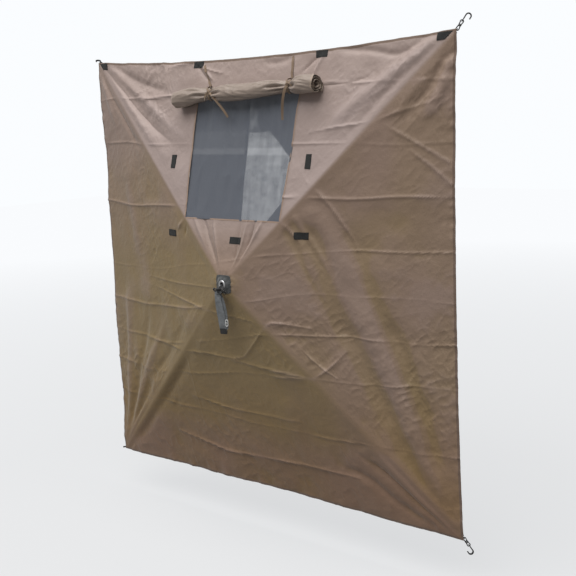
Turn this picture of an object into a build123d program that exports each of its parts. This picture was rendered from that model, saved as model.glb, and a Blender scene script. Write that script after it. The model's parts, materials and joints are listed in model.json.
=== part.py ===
from build123d import *
import os
from math import atan2, cos, hypot, sin, sqrt, tan

# A folding fabric wall: eight fabric half-triangles over four poles hinged to a central hub,
# with a window and its rolled-up flap in the top triangle, a pull strap on the hub, and an
# elastic cord and hook at each corner.
# Millimetres. +Z is up and the outside (front) of the wall faces -Y. The origin is the point
# on the hub's axis where the four ridge lines of the fabric meet.

os.makedirs("parts", exist_ok=True)

# ---------------------------------------------------------------- wall frame
HALF_WIDTH = 880.0        # between the wall's corners
HALF_HEIGHT = 850.0
DEPTH = 212.0             # how far the hub stands proud of the corners

DIAGONAL = hypot(HALF_WIDTH, HALF_HEIGHT)
RAKE = atan2(DEPTH, DIAGONAL)            # slope of the ridges back from the hub
TOP_FOLD = hypot(HALF_HEIGHT, DEPTH)     # fold line of the top and bottom triangles
SIDE_FOLD = hypot(HALF_WIDTH, DEPTH)     # fold line of the side triangles

# corner -> sign of x, sign of z
CORNERS = {"tl": (-1, 1), "tr": (1, 1), "br": (1, -1), "bl": (-1, -1)}

# Planes of the four triangles, each with its normal pointing out of the wall's front
TOP = Plane(origin=(0, 0, 0), x_dir=(1, 0, 0),
            z_dir=(0, -HALF_HEIGHT / TOP_FOLD, DEPTH / TOP_FOLD))
BOTTOM = Plane(origin=(0, 0, 0), x_dir=(1, 0, 0),
               z_dir=(0, -HALF_HEIGHT / TOP_FOLD, -DEPTH / TOP_FOLD))
RIGHT = Plane(origin=(0, 0, 0), x_dir=(HALF_WIDTH / SIDE_FOLD, DEPTH / SIDE_FOLD, 0),
              z_dir=(DEPTH / SIDE_FOLD, -HALF_WIDTH / SIDE_FOLD, 0))
LEFT = Plane(origin=(0, 0, 0), x_dir=(HALF_WIDTH / SIDE_FOLD, -DEPTH / SIDE_FOLD, 0),
             z_dir=(-DEPTH / SIDE_FOLD, -HALF_WIDTH / SIDE_FOLD, 0))


def at_y(y):
    """Plane across the hub's axis, its normal towards the front."""
    return Plane(origin=(0, y, 0), x_dir=(1, 0, 0), z_dir=(0, -1, 0))


def radial(corner):
    """Unit vector from the hub's axis towards a corner, seen from the front."""
    sign_x, sign_z = CORNERS[corner]
    return Vector(sign_x * HALF_WIDTH / DIAGONAL, 0, sign_z * HALF_HEIGHT / DIAGONAL)


def save(builder, name):
    builder.part.label = name
    export_step(builder.part, f"parts/{name}.step")


# ---------------------------------------------------------------- fabric wall
FABRIC_T = 1.6
RIDGE_GAP = 2.0           # fabric edge to ridge line
FOLD_GAP = 4.0            # fabric edge to the fold line of each triangle
HUB_CLEAR = 64.0          # radius left open around the hub's axis
TOP_SAG = 34.0            # inward curve of the top edge

# Window opening, measured along the top triangle
WINDOW_TOP = 711.0
WINDOW_BOTTOM = 250.0
WINDOW_HALF_TOP = 256.0
WINDOW_HALF_BOTTOM = 240.0

# side: plane, fold line length, half width, inward curve of the outer edge,
#       names of the halves on the - and + side of the fold line,
#       sketch point from (distance along the fold line, signed distance across it)
SIDES = {
    "top": (TOP, TOP_FOLD, HALF_WIDTH, TOP_SAG, ("left", "right"),
            lambda along, across: (across, along)),
    "bottom": (BOTTOM, TOP_FOLD, HALF_WIDTH, 6.0, ("left", "right"),
               lambda along, across: (across, -along)),
    "right": (RIGHT, SIDE_FOLD, HALF_HEIGHT, 13.0, ("lower", "upper"),
              lambda along, across: (along, across)),
    "left": (LEFT, SIDE_FOLD, HALF_HEIGHT, 8.0, ("lower", "upper"),
             lambda along, across: (-along, across)),
}


def outer_edge(fold_len, half_width, sag, across):
    """Distance along the fold line at which the curved outer edge lies."""
    return fold_len - sag * (1 - (across / half_width) ** 2)


def half_triangle(fold_len, half_width, sag):
    """(along, across) of the inner point, then the outer edge's start, middle and end."""
    slope = fold_len / half_width
    ridge_start = RIDGE_GAP * hypot(fold_len, half_width) / half_width

    # The ridge side meets the curved edge where square * t^2 - slope * t + constant = 0
    square = sag / half_width ** 2
    constant = fold_len - sag - ridge_start
    corner = (slope - sqrt(slope ** 2 - 4 * square * constant)) / (2 * square)

    inner = (ridge_start + slope * FOLD_GAP, FOLD_GAP)
    outer = [(outer_edge(fold_len, half_width, sag, across), across)
             for across in (corner, (corner + FOLD_GAP) / 2, FOLD_GAP)]
    return [inner] + outer


def window_points(sign, grow, fold_gap):
    """Half of the window, grown by a margin (half as much at the bottom)."""
    bottom = WINDOW_BOTTOM - grow / 2
    top = WINDOW_TOP + grow
    return [(sign * fold_gap, bottom), (sign * (WINDOW_HALF_BOTTOM + grow), bottom),
            (sign * (WINDOW_HALF_TOP + grow), top), (sign * fold_gap, top)]


def build_fabric(side, half_name, sign):
    plane, fold_len, half_width, sag, _, place = SIDES[side]
    inner, corner, middle, fold_end = [
        place(along, sign * across)
        for along, across in half_triangle(fold_len, half_width, sag)]
    with BuildPart() as fabric:
        with BuildSketch(plane):
            with BuildLine():
                Line(inner, corner)
                ThreePointArc(corner, middle, fold_end)
                Line(fold_end, inner)
            make_face()
            Circle(HUB_CLEAR, mode=Mode.SUBTRACT)
            if side == "top":
                with BuildLine():
                    Polyline(*window_points(sign, grow=0.0, fold_gap=0.0), close=True)
                make_face(mode=Mode.SUBTRACT)
        extrude(amount=FABRIC_T / 2, both=True)
    save(fabric, f"fabric_{side}_{half_name}")


for side, row in SIDES.items():
    for half_name, sign in zip(row[4], (-1, 1)):
        build_fabric(side, half_name, sign)

# ---------------------------------------------------------------- window screen
MESH_T = 0.8
MESH_LAP = 7.0            # mesh beyond the opening
MESH_FOLD_GAP = 2.0
LAYER_GAP = 0.1           # between the fabric and what lies on it
FACE_OUT = FABRIC_T / 2 + LAYER_GAP      # from the fabric's middle surface


def build_mesh(half_name, sign):
    """Half of the screen, behind the fabric and parted at the fold line."""
    with BuildPart() as mesh:
        with BuildSketch(TOP.offset(-FACE_OUT)):
            with BuildLine():
                Polyline(*window_points(sign, MESH_LAP, MESH_FOLD_GAP), close=True)
            make_face()
        extrude(amount=-MESH_T)
    save(mesh, f"window_mesh_{half_name}")


build_mesh("left", -1)
build_mesh("right", 1)

# ---------------------------------------------------------------- loop patches
PATCH_T = 1.5
PATCH_W = 25.0
TOP_PATCH_LEN = 52.0
SIDE_PATCH_LEN = 56.0
EDGE_PATCH_IN = 15.0      # centre of a top edge patch, in from the edge
UPRIGHT_X, UPRIGHT_Y = 338.0, 455.0      # patches beside the window
CORNER_PATCH_H = 26.0
CORNER_PATCH_INNER = 812.0               # inner side, from the fold line
CORNER_PATCH_OUTER = 840.0               # where the top edge's height is taken
CORNER_PATCH_EDGE_GAP = 3.0
CORNER_PATCH_RIDGE_GAP = 4.0


def top_edge(x):
    return outer_edge(TOP_FOLD, HALF_WIDTH, TOP_SAG, x)


def corner_patch(sign):
    def ridge_x(along):
        ridge_len = hypot(TOP_FOLD, HALF_WIDTH)
        return (along * HALF_WIDTH - CORNER_PATCH_RIDGE_GAP * ridge_len) / TOP_FOLD

    inner_top = top_edge(CORNER_PATCH_INNER) - CORNER_PATCH_EDGE_GAP
    outer_top = top_edge(CORNER_PATCH_OUTER) - CORNER_PATCH_EDGE_GAP
    outer_bottom = outer_top - CORNER_PATCH_H
    return [(sign * CORNER_PATCH_INNER, inner_top - CORNER_PATCH_H),
            (sign * CORNER_PATCH_INNER, inner_top),
            (sign * ridge_x(outer_top), outer_top),
            (sign * ridge_x(outer_bottom), outer_bottom)]


def build_patches(name, plane, rectangles, corner_sign=None):
    """Patches on the fabric's front; rectangles are (centre x, centre y, width, height)."""
    with BuildPart() as patches:
        with BuildSketch(plane.offset(FACE_OUT)):
            if corner_sign is not None:
                with BuildLine():
                    Polyline(*corner_patch(corner_sign), close=True)
                make_face()
            for x, y, width, height in rectangles:
                with Locations((x, y)):
                    Rectangle(width, height)
        extrude(amount=PATCH_T)
    save(patches, name)


build_patches("loop_patches_left", TOP, [
    (-264, top_edge(264) - EDGE_PATCH_IN, TOP_PATCH_LEN, PATCH_W),
    (-UPRIGHT_X, UPRIGHT_Y, PATCH_W, TOP_PATCH_LEN),
], corner_sign=-1)
build_patches("loop_patches_right", TOP, [
    (344, top_edge(344) - EDGE_PATCH_IN, TOP_PATCH_LEN, PATCH_W),
    (UPRIGHT_X, UPRIGHT_Y, PATCH_W, TOP_PATCH_LEN),
    (36, 164, TOP_PATCH_LEN, PATCH_W),
], corner_sign=1)
build_patches("loop_patch_side_left", LEFT, [(-348, 167, SIDE_PATCH_LEN, PATCH_W)])
build_patches("loop_patch_side_right", RIGHT, [(329, 184, SIDE_PATCH_LEN, PATCH_W)])

# ---------------------------------------------------------------- window flap
ROLL_RAD = 37.0
ROLL_UP = 702.0           # roll axis, measured along the top triangle
ROLL_OUT = 40.0           # roll axis in front of the fabric's middle surface
ROLL_LEFT, ROLL_RIGHT = -338.0, 372.0
ROLL_FOLD_GAP = 1.5       # each half to the fold line

TIE_X = {"left": -142.0, "right": 247.0}
TIE_W = 16.0
TIE_T = 1.2
TIE_RAD = ROLL_RAD + 0.5  # inside of the tape loop
TAIL_LEN = 42.0           # loose tape end below the roll
TAIL_DOWN = ROLL_RAD + 22.0              # roll axis to the tail's middle
TAIL_OUT = 6.0            # tail in front of the roll axis
SEWN_LEN = 46.0           # tape end sewn above the roll
SEWN_UP = 60.0            # roll axis to the sewn end's middle


def roll_plane(x):
    """Plane across the roll: its x runs up the fabric, its y out of the front."""
    origin = TOP.origin + TOP.y_dir * ROLL_UP + TOP.z_dir * ROLL_OUT + TOP.x_dir * x
    return Plane(origin=origin, x_dir=TOP.y_dir, z_dir=(1, 0, 0))


def build_roll(half_name, start, end):
    """Half of the rolled-up flap, parted so that it folds with the wall."""
    with BuildPart() as roll:
        with BuildSketch(roll_plane(start)):
            Circle(ROLL_RAD)
        extrude(amount=end - start)
    save(roll, f"flap_roll_{half_name}")


def build_roll_tie(half_name, x):
    with BuildPart() as tie:
        with BuildSketch(roll_plane(x - TIE_W / 2)):
            Circle(TIE_RAD + TIE_T)
            Circle(TIE_RAD, mode=Mode.SUBTRACT)
            with Locations((-TAIL_DOWN, TAIL_OUT)):
                Rectangle(TAIL_LEN, TIE_T)
        extrude(amount=TIE_W)
    save(tie, f"roll_tie_{half_name}")


def build_tie_tape(half_name, x):
    with BuildPart() as tape:
        with BuildSketch(TOP.offset(FACE_OUT)):
            with Locations((x, ROLL_UP + SEWN_UP)):
                Rectangle(TIE_W, SEWN_LEN)
        extrude(amount=TIE_T)
    save(tape, f"tie_tape_{half_name}")


build_roll("left", ROLL_LEFT, -ROLL_FOLD_GAP)
build_roll("right", ROLL_FOLD_GAP, ROLL_RIGHT)
for half_name, x in TIE_X.items():
    build_roll_tie(half_name, x)
    build_tie_tape(half_name, x)

# ---------------------------------------------------------------- hinges
POLE_BACK = 12.0          # pole axis behind the ridge line
PIN_OUT = 34.0            # hinge pins to the hub's axis
PIN_Y = PIN_OUT * tan(RAKE) + POLE_BACK / cos(RAKE)
PIN_RAD = 3.0
PIN_LEN = 29.0
KNUCKLE_RAD = 8.5
KNUCKLE_W = 15.0


def pin_axis(corner):
    out = radial(corner)
    return Vector(out.Z, 0, -out.X)


def arm_dir(corner):
    return radial(corner) * cos(RAKE) + Vector(0, sin(RAKE), 0)


def pin_point(corner):
    return radial(corner) * PIN_OUT + Vector(0, PIN_Y, 0)


def pin_plane(corner, offset, x_dir=(0, 1, 0)):
    """Plane across a hinge pin, offset along the pin from its middle."""
    axis = pin_axis(corner)
    return Plane(origin=pin_point(corner) + axis * offset, x_dir=x_dir, z_dir=axis)


def arm_point(corner, distance):
    return pin_point(corner) + arm_dir(corner) * distance


def arm_plane(corner, distance):
    """Plane across an arm, at a distance out from its hinge pin."""
    return Plane(origin=arm_point(corner, distance), x_dir=pin_axis(corner),
                 z_dir=arm_dir(corner))


def build_pivot_pins():
    with BuildPart() as pins:
        for corner in CORNERS:
            with BuildSketch(pin_plane(corner, -PIN_LEN / 2)):
                Circle(PIN_RAD)
            extrude(amount=PIN_LEN)
    save(pins, "pivot_pins")


# ---------------------------------------------------------------- hub
HUB_RAD = 52.0
HUB_FRONT, HUB_BACK = 10.2, 29.0         # y of the faces
HUB_FILLET = 2.0
BOSS_RAD = 16.0
BOSS_FRONT = 5.0
BOSS_HOLE_RAD = 5.0
BOSS_HOLE_DEPTH = 8.0
SLOT_W = 16.0
SLOT_INNER = PIN_OUT - KNUCKLE_RAD - 0.7
SLOT_OUTER = HUB_RAD + 6.0
PIN_BORE_RAD = PIN_RAD + 0.02
PIN_BORE_LEN = 30.2

PLATE_RAD = 50.0
PLATE_T = 4.0
PLATE_FRONT = HUB_BACK + 0.1
PLATE_FILLET = 1.5
PLATE_DISC_RAD = 14.0
PLATE_DISC_T = 2.5

SCREW_AT = [(36.0, 0.0), (0.0, 36.0), (-36.0, 0.0), (0.0, -36.0)]
SCREW_RAD = 2.0
SCREW_DEPTH = 12.0        # into the hub body
SCREW_BORE_RAD = 2.05
SCREW_BORE_DEPTH = 12.5
PLATE_HOLE_RAD = 2.1
SHANK_BACK = HUB_BACK + PLATE_T + 0.3
HEAD_RAD = 3.8
HEAD_T = 2.4
HEAD_FRONT = HUB_BACK + PLATE_T + 0.2
HEX_RAD = 1.6             # to the corners
HEX_DEPTH = 1.2


def slot_corners(corner):
    out, across = radial(corner), pin_axis(corner)
    half = SLOT_W / 2
    points = [out * r + across * w for r, w in (
        (SLOT_INNER, half), (SLOT_OUTER, half), (SLOT_OUTER, -half), (SLOT_INNER, -half))]
    return [(point.X, point.Z) for point in points]


def build_hub_body():
    with BuildPart() as body:
        with BuildSketch(at_y(HUB_FRONT)):
            Circle(HUB_RAD)
        extrude(amount=-(HUB_BACK - HUB_FRONT))
        fillet(body.edges().filter_by(GeomType.CIRCLE), HUB_FILLET)
        # Front boss, sunk 1 mm into the body, with a blind hole
        with BuildSketch(at_y(BOSS_FRONT)):
            Circle(BOSS_RAD)
        extrude(amount=-(HUB_FRONT - BOSS_FRONT + 1.0))
        with BuildSketch(at_y(BOSS_FRONT)):
            Circle(BOSS_HOLE_RAD)
        extrude(amount=-BOSS_HOLE_DEPTH, mode=Mode.SUBTRACT)
        # A slot through the body for each socket, then the bore for its pin
        for corner in CORNERS:
            with BuildSketch(at_y(HUB_FRONT - 1.0)):
                with BuildLine():
                    Polyline(*slot_corners(corner), close=True)
                make_face()
            extrude(amount=-(HUB_BACK - HUB_FRONT + 3.0), mode=Mode.SUBTRACT)
        for corner in CORNERS:
            with BuildSketch(pin_plane(corner, -PIN_BORE_LEN / 2)):
                Circle(PIN_BORE_RAD)
            extrude(amount=PIN_BORE_LEN, mode=Mode.SUBTRACT)
        with BuildSketch(at_y(HUB_BACK)):
            with Locations(*SCREW_AT):
                Circle(SCREW_BORE_RAD)
        extrude(amount=SCREW_BORE_DEPTH, mode=Mode.SUBTRACT)
    save(body, "hub_body")


def build_rear_plate():
    with BuildPart() as plate:
        with BuildSketch(at_y(PLATE_FRONT)):
            Circle(PLATE_RAD)
            with Locations(*SCREW_AT):
                Circle(PLATE_HOLE_RAD, mode=Mode.SUBTRACT)
        extrude(amount=-PLATE_T)
        # The rear face has five circles; only the rim, not the screw holes, is rounded
        rear_edges = plate.edges().filter_by(GeomType.CIRCLE).sort_by(Axis.Y)[-5:]
        fillet([edge for edge in rear_edges if edge.radius > 10], PLATE_FILLET)
        with BuildSketch(at_y(PLATE_FRONT + PLATE_T)):
            Circle(PLATE_DISC_RAD)
        extrude(amount=-PLATE_DISC_T)
    save(plate, "hub_rear_plate")


def build_hub_screws():
    shank_front = HUB_BACK - SCREW_DEPTH
    with BuildPart() as screws:
        with BuildSketch(at_y(shank_front)):
            with Locations(*SCREW_AT):
                Circle(SCREW_RAD)
        extrude(amount=-(SHANK_BACK - shank_front))
        with BuildSketch(at_y(HEAD_FRONT)):
            with Locations(*SCREW_AT):
                Circle(HEAD_RAD)
        extrude(amount=-HEAD_T)
        with BuildSketch(at_y(HEAD_FRONT + HEAD_T)):
            with Locations(*SCREW_AT):
                RegularPolygon(HEX_RAD, 6)
        extrude(amount=HEX_DEPTH, mode=Mode.SUBTRACT)
    save(screws, "hub_screws")


build_hub_body()
build_rear_plate()
build_hub_screws()
build_pivot_pins()

# ---------------------------------------------------------------- fabric over the hub
CROWN_T = 1.2             # measured along Y
CROWN_INNER, CROWN_OUTER = 10.0, 60.0    # hub's axis to the crown's corners
CROWN_HOLE_RAD = 10.2

HUB_PATCH_W, HUB_PATCH_H = 72.0, 68.0
HUB_PATCH_CORNER = 5.0
HUB_PATCH_Y = -2.6        # back face
HUB_PATCH_T = 1.4
HUB_PATCH_HOLE_RAD = 9.6

GROMMET_BORE = 8.0        # radii
GROMMET_TUBE = 9.2
GROMMET_FLANGE = 16.0
GROMMET_BACK = 4.4        # y of the tube's rear end
FLANGE_BACK, FLANGE_EDGE, FLANGE_CREST = -4.2, -4.8, -6.6    # y, back to front


def crown_ring(radius):
    directions = [radial(corner) for corner in CORNERS]
    return [(out.X * radius, out.Z * radius) for out in directions]


def build_hub_crown():
    """Shallow four-sided crown that carries on the ridges over the hub."""
    with BuildPart() as crown:
        for shift, mode in ((-CROWN_T / 2, Mode.ADD), (CROWN_T / 2, Mode.SUBTRACT)):
            for radius in (CROWN_INNER, CROWN_OUTER):
                with BuildSketch(at_y(DEPTH * radius / DIAGONAL + shift)):
                    Polygon(*crown_ring(radius), align=None)
            loft(ruled=True, mode=mode)
        with BuildSketch(at_y(-10)):
            Circle(CROWN_HOLE_RAD)
        extrude(amount=-30, mode=Mode.SUBTRACT)
    save(crown, "hub_crown")


def build_hub_patch():
    with BuildPart() as patch:
        with BuildSketch(at_y(HUB_PATCH_Y)):
            RectangleRounded(HUB_PATCH_W, HUB_PATCH_H, HUB_PATCH_CORNER)
            Circle(HUB_PATCH_HOLE_RAD, mode=Mode.SUBTRACT)
        extrude(amount=HUB_PATCH_T)
    save(patch, "hub_patch")


def build_grommet():
    """Tube through the fabric with a domed flange in front."""
    with BuildPart() as grommet:
        with BuildSketch(Plane.XY):
            with BuildLine():
                Polyline((GROMMET_BORE, GROMMET_BACK), (GROMMET_TUBE, GROMMET_BACK),
                         (GROMMET_TUBE, FLANGE_BACK), (GROMMET_FLANGE, FLANGE_BACK),
                         (GROMMET_FLANGE, FLANGE_EDGE))
                ThreePointArc((GROMMET_FLANGE, FLANGE_EDGE),
                              ((GROMMET_BORE + GROMMET_FLANGE) / 2, FLANGE_CREST),
                              (GROMMET_BORE, FLANGE_EDGE))
                Line((GROMMET_BORE, FLANGE_EDGE), (GROMMET_BORE, GROMMET_BACK))
            make_face()
        revolve(axis=Axis.Y)
    save(grommet, "hub_grommet")


build_hub_crown()
build_hub_patch()
build_grommet()

# ---------------------------------------------------------------- pull strap
STRAP_W = 26.0
STRAP_T = 1.6
STRAP_Y = -7.8            # back face
LOOP_TOP, LOOP_END = -18.0, -34.0        # z, from top to bottom
STRAP_TOP, STRAP_END = -35.5, -184.0
TIP_TOP, TIP_END = STRAP_END - 0.1, -200.0
TIP_SIDE = 0.7            # tip beyond each side of the strap
TIP_FACE = 0.9            # tip beyond each face of the strap
TIP_CORNER = 2.5
BAR_RAD = 3.2
BAR_LEN = 34.0
BAR_Z = -27.0
BAR_OUT = 2.1             # bar axis in front of the strap loop
BAR_FILLET = 1.2


def build_strap(name, top, end):
    with BuildPart() as strap:
        with BuildSketch(at_y(STRAP_Y)):
            with Locations((0, (top + end) / 2)):
                Rectangle(STRAP_W, top - end)
        extrude(amount=STRAP_T)
    save(strap, name)


def build_strap_bar():
    start = (-BAR_LEN / 2, STRAP_Y - STRAP_T - BAR_OUT, BAR_Z)
    with BuildPart() as bar:
        with BuildSketch(Plane(origin=start, x_dir=(0, 1, 0), z_dir=(1, 0, 0))):
            Circle(BAR_RAD)
        extrude(amount=BAR_LEN)
        fillet(bar.edges().filter_by(GeomType.CIRCLE), BAR_FILLET)
    save(bar, "strap_bar")


def build_strap_tip():
    with BuildPart() as tip:
        with BuildSketch(at_y(STRAP_Y + TIP_FACE)):
            with Locations((0, (TIP_TOP + TIP_END) / 2)):
                RectangleRounded(STRAP_W + 2 * TIP_SIDE, TIP_TOP - TIP_END, TIP_CORNER)
        extrude(amount=STRAP_T + 2 * TIP_FACE)
    save(tip, "strap_tip")


build_strap("strap_loop", LOOP_TOP, LOOP_END)
build_strap_bar()
build_strap("pull_strap", STRAP_TOP, STRAP_END)
build_strap_tip()

# ---------------------------------------------------------------- arms
# Starts and ends are distances along the arm from its hinge pin
POLE_START, POLE_END = 17.0, 1186.0
POLE_RAD = 4.75
POLE_BORE_RAD = POLE_RAD + 0.05
POLE_END_GAP = 0.5        # bores go this far past the pole's ends
SOCKET_RAD = 6.5
SOCKET_END = 66.0
HINGE_BORE_RAD = PIN_RAD + 0.06
CAP_RAD = 6.2
CAP_START, CAP_END = 1160.0, 1194.0
POCKET_START, POCKET_END = 1143.0, 1189.0
POCKET_OUTER_RAD, POCKET_INNER_RAD = 7.8, 6.4

EYE_RAD = 5.2             # to the middle of the wire
EYE_WIRE_RAD = 1.5
CORD_RAD = 1.7
CORD_LEN = 26.0           # straight part of the cord loop
HOOK_T = 4.0
HOOK_W = 6.0
HOOK_RAD = 6.5            # inside of the bend
HOOK_SHANK = 14.0
HOOK_LIP = 7.0            # straight end past the bend
HOOK_LAP = 0.6            # shank sunk into the eye's wire

# Distances from the cap's end along the cord's pull
TIP_EYE = EYE_RAD
CORD_START = 2 * EYE_RAD
CORD_END = CORD_START + CORD_LEN
HOOK_EYE = CORD_END + EYE_RAD
HOOK_ROOT = CORD_END + 2 * EYE_RAD

# corner -> direction the cord pulls in, rough direction of the axis it swings on
CORD_DIRS = {
    "tr": ((0.42, 0.35, 0.84), (-0.65, 0.74, -0.17)),
    "br": ((0.42, 0.35, -0.84), (-0.65, 0.74, -0.17)),
    "tl": ((-0.80, 0.50, 0.33), (0, 0, 1)),
    "bl": ((-0.80, 0.50, -0.33), (0, 0, 1)),
}


def cord_frame(corner):
    """Unit vectors of the cord's pull and of its swing axis, square to each other."""
    pull_dir, swing_hint = CORD_DIRS[corner]
    pull = Vector(*pull_dir).normalized()
    hint = Vector(*swing_hint)
    return pull, (hint - pull * hint.dot(pull)).normalized()


def cord_point(corner, distance):
    pull, _ = cord_frame(corner)
    return arm_point(corner, CAP_END) + pull * distance


def eye_frame(corner, distance):
    """Plane of an eye's wire section and the axis that it revolves on."""
    pull, swing = cord_frame(corner)
    centre = cord_point(corner, distance)
    section = Plane(origin=centre + swing * EYE_RAD, x_dir=swing, z_dir=pull)
    return section, Axis(centre, pull.cross(swing))


def build_socket(corner):
    with BuildPart() as socket:
        with BuildSketch(pin_plane(corner, -KNUCKLE_W / 2, arm_dir(corner))):
            Circle(KNUCKLE_RAD)
        extrude(amount=KNUCKLE_W)
        with BuildSketch(arm_plane(corner, 0)):
            Circle(SOCKET_RAD)
        extrude(amount=SOCKET_END)
        with BuildSketch(arm_plane(corner, POLE_START - POLE_END_GAP)):
            Circle(POLE_BORE_RAD)
        extrude(amount=SOCKET_END, mode=Mode.SUBTRACT)
        with BuildSketch(pin_plane(corner, -KNUCKLE_W, arm_dir(corner))):
            Circle(HINGE_BORE_RAD)
        extrude(amount=2 * KNUCKLE_W, mode=Mode.SUBTRACT)
    save(socket, f"socket_{corner}")


def build_pole(corner):
    with BuildPart() as pole:
        with BuildSketch(arm_plane(corner, POLE_START)):
            Circle(POLE_RAD)
        extrude(amount=POLE_END - POLE_START)
    save(pole, f"pole_{corner}")


def build_tip(corner):
    """Cap on the pole's end, with an eye for the cord."""
    bore_start = CAP_START - 1
    eye_section, eye_axis = eye_frame(corner, TIP_EYE)
    with BuildPart() as tip:
        with BuildSketch(arm_plane(corner, CAP_START)):
            Circle(CAP_RAD)
        extrude(amount=CAP_END - CAP_START)
        with BuildSketch(arm_plane(corner, bore_start)):
            Circle(POLE_BORE_RAD)
        extrude(amount=POLE_END + POLE_END_GAP - bore_start, mode=Mode.SUBTRACT)
        with BuildSketch(eye_section):
            Circle(EYE_WIRE_RAD)
        revolve(axis=eye_axis)
    save(tip, f"tip_{corner}")


def build_pocket(corner):
    with BuildPart() as pocket:
        with BuildSketch(arm_plane(corner, POCKET_START)):
            Circle(POCKET_OUTER_RAD)
            Circle(POCKET_INNER_RAD, mode=Mode.SUBTRACT)
        extrude(amount=POCKET_END - POCKET_START)
    save(pocket, f"pocket_{corner}")


def build_cord(corner):
    """Closed elastic loop through the tip's eye and the hook's eye."""
    pull, swing = cord_frame(corner)
    start = cord_point(corner, CORD_START)
    loop_plane = Plane(origin=start, x_dir=pull, z_dir=swing)
    section = Plane(origin=start + loop_plane.y_dir * EYE_RAD, x_dir=swing, z_dir=pull)
    with BuildPart() as cord:
        with BuildLine(loop_plane) as path:
            Line((0, EYE_RAD), (CORD_LEN, EYE_RAD))
            ThreePointArc((CORD_LEN, EYE_RAD), (CORD_LEN + EYE_RAD, 0), (CORD_LEN, -EYE_RAD))
            Line((CORD_LEN, -EYE_RAD), (0, -EYE_RAD))
            ThreePointArc((0, -EYE_RAD), (-EYE_RAD, 0), (0, EYE_RAD))
        with BuildSketch(section):
            Circle(CORD_RAD)
        sweep(path=path.wires()[0])
    save(cord, f"cord_{corner}")


def build_hook(corner):
    """Moulded hook: round eye, flat J."""
    pull, swing = cord_frame(corner)
    eye_section, eye_axis = eye_frame(corner, HOOK_EYE)
    hook_plane = Plane(origin=cord_point(corner, HOOK_ROOT) - swing * (HOOK_W / 2),
                       x_dir=pull, z_dir=swing)
    half = HOOK_T / 2
    outer_rad = HOOK_RAD + HOOK_T
    bend_y = outer_rad - half
    end_outer = bend_y + outer_rad
    end_inner = end_outer - HOOK_T
    lip_x = HOOK_SHANK - HOOK_LIP
    with BuildPart() as hook:
        with BuildSketch(eye_section):
            Circle(EYE_WIRE_RAD)
        revolve(axis=eye_axis)
        with BuildSketch(hook_plane):
            with BuildLine():
                Polyline((-HOOK_LAP, -half), (HOOK_SHANK, -half))
                ThreePointArc((HOOK_SHANK, -half), (HOOK_SHANK + outer_rad, bend_y),
                              (HOOK_SHANK, end_outer))
                Polyline((HOOK_SHANK, end_outer), (lip_x, end_outer),
                         (lip_x, end_inner), (HOOK_SHANK, end_inner))
                ThreePointArc((HOOK_SHANK, end_inner), (HOOK_SHANK + HOOK_RAD, bend_y),
                              (HOOK_SHANK, half))
                Polyline((HOOK_SHANK, half), (-HOOK_LAP, half), (-HOOK_LAP, -half))
            make_face()
        extrude(amount=HOOK_W)
    save(hook, f"hook_{corner}")


for corner in CORNERS:
    build_socket(corner)
    build_pole(corner)
    build_tip(corner)
    build_pocket(corner)
    build_cord(corner)
    build_hook(corner)
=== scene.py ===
"""A square pop-up wall: four fabric facets that slope back from a hub to the outer edges.

The hub is at the origin and the front faces -Y; +X is right and +Z is up. The edges lie DEPTH
behind the hub. The top facet has a window of see-through mesh, with its flap rolled up above it.
Working lengths are millimetres; MM turns them into metres when a mesh is made.
"""
import bmesh
import bpy
import json
import math
from collections import namedtuple

import numpy as np
from mathutils import Matrix, Vector

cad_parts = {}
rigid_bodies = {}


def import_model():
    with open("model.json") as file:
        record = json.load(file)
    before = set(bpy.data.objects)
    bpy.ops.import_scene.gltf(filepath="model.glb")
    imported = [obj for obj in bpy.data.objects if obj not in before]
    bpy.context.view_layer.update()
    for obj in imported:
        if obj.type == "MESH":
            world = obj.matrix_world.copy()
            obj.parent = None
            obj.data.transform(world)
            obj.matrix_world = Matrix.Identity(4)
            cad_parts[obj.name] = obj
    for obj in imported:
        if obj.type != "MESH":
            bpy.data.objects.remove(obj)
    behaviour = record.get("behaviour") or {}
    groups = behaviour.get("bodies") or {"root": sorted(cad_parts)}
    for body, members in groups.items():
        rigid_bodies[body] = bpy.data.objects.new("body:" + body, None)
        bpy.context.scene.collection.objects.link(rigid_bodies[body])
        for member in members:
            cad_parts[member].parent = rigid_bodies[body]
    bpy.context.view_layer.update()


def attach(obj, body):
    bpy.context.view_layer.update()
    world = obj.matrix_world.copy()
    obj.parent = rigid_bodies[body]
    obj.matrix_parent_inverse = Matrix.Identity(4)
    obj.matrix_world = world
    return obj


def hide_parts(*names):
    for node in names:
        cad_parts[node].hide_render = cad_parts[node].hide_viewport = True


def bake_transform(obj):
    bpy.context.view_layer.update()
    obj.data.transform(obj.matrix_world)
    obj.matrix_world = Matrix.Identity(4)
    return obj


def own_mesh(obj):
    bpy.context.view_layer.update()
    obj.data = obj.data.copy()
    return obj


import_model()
MM = 0.001

# ------------------------------------------------------------------ driving sizes
HALF_WIDTH, HALF_HEIGHT, DEPTH = 880.0, 850.0, 212.0
DIAGONAL = math.hypot(HALF_WIDTH, HALF_HEIGHT)
POLE_RAKE = math.atan2(DEPTH, DIAGONAL)
SLOPE_TOP = math.hypot(HALF_HEIGHT, DEPTH)
SLOPE_SIDE = math.hypot(HALF_WIDTH, DEPTH)
SAG = {"top": 34.0, "right": 13.0, "left": 8.0, "bottom": 6.0}   # inward bow of each edge
HEM = 9.0
CROWN_EDGE = 64.0               # where the panels meet the crown
PIN_RADIUS, POLE_BACK = 34.0, 12.0
PIN_Y = PIN_RADIUS * math.tan(POLE_RAKE) + POLE_BACK / math.cos(POLE_RAKE)

# window, measured up the top facet
WINDOW_FOOT, WINDOW_HEAD, FOOT_HALF = 240.5, 711.0, 238.5
HEAD_HALF = {-1: 243.0, 1: 266.0}      # the opening leans a little to the right

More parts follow.
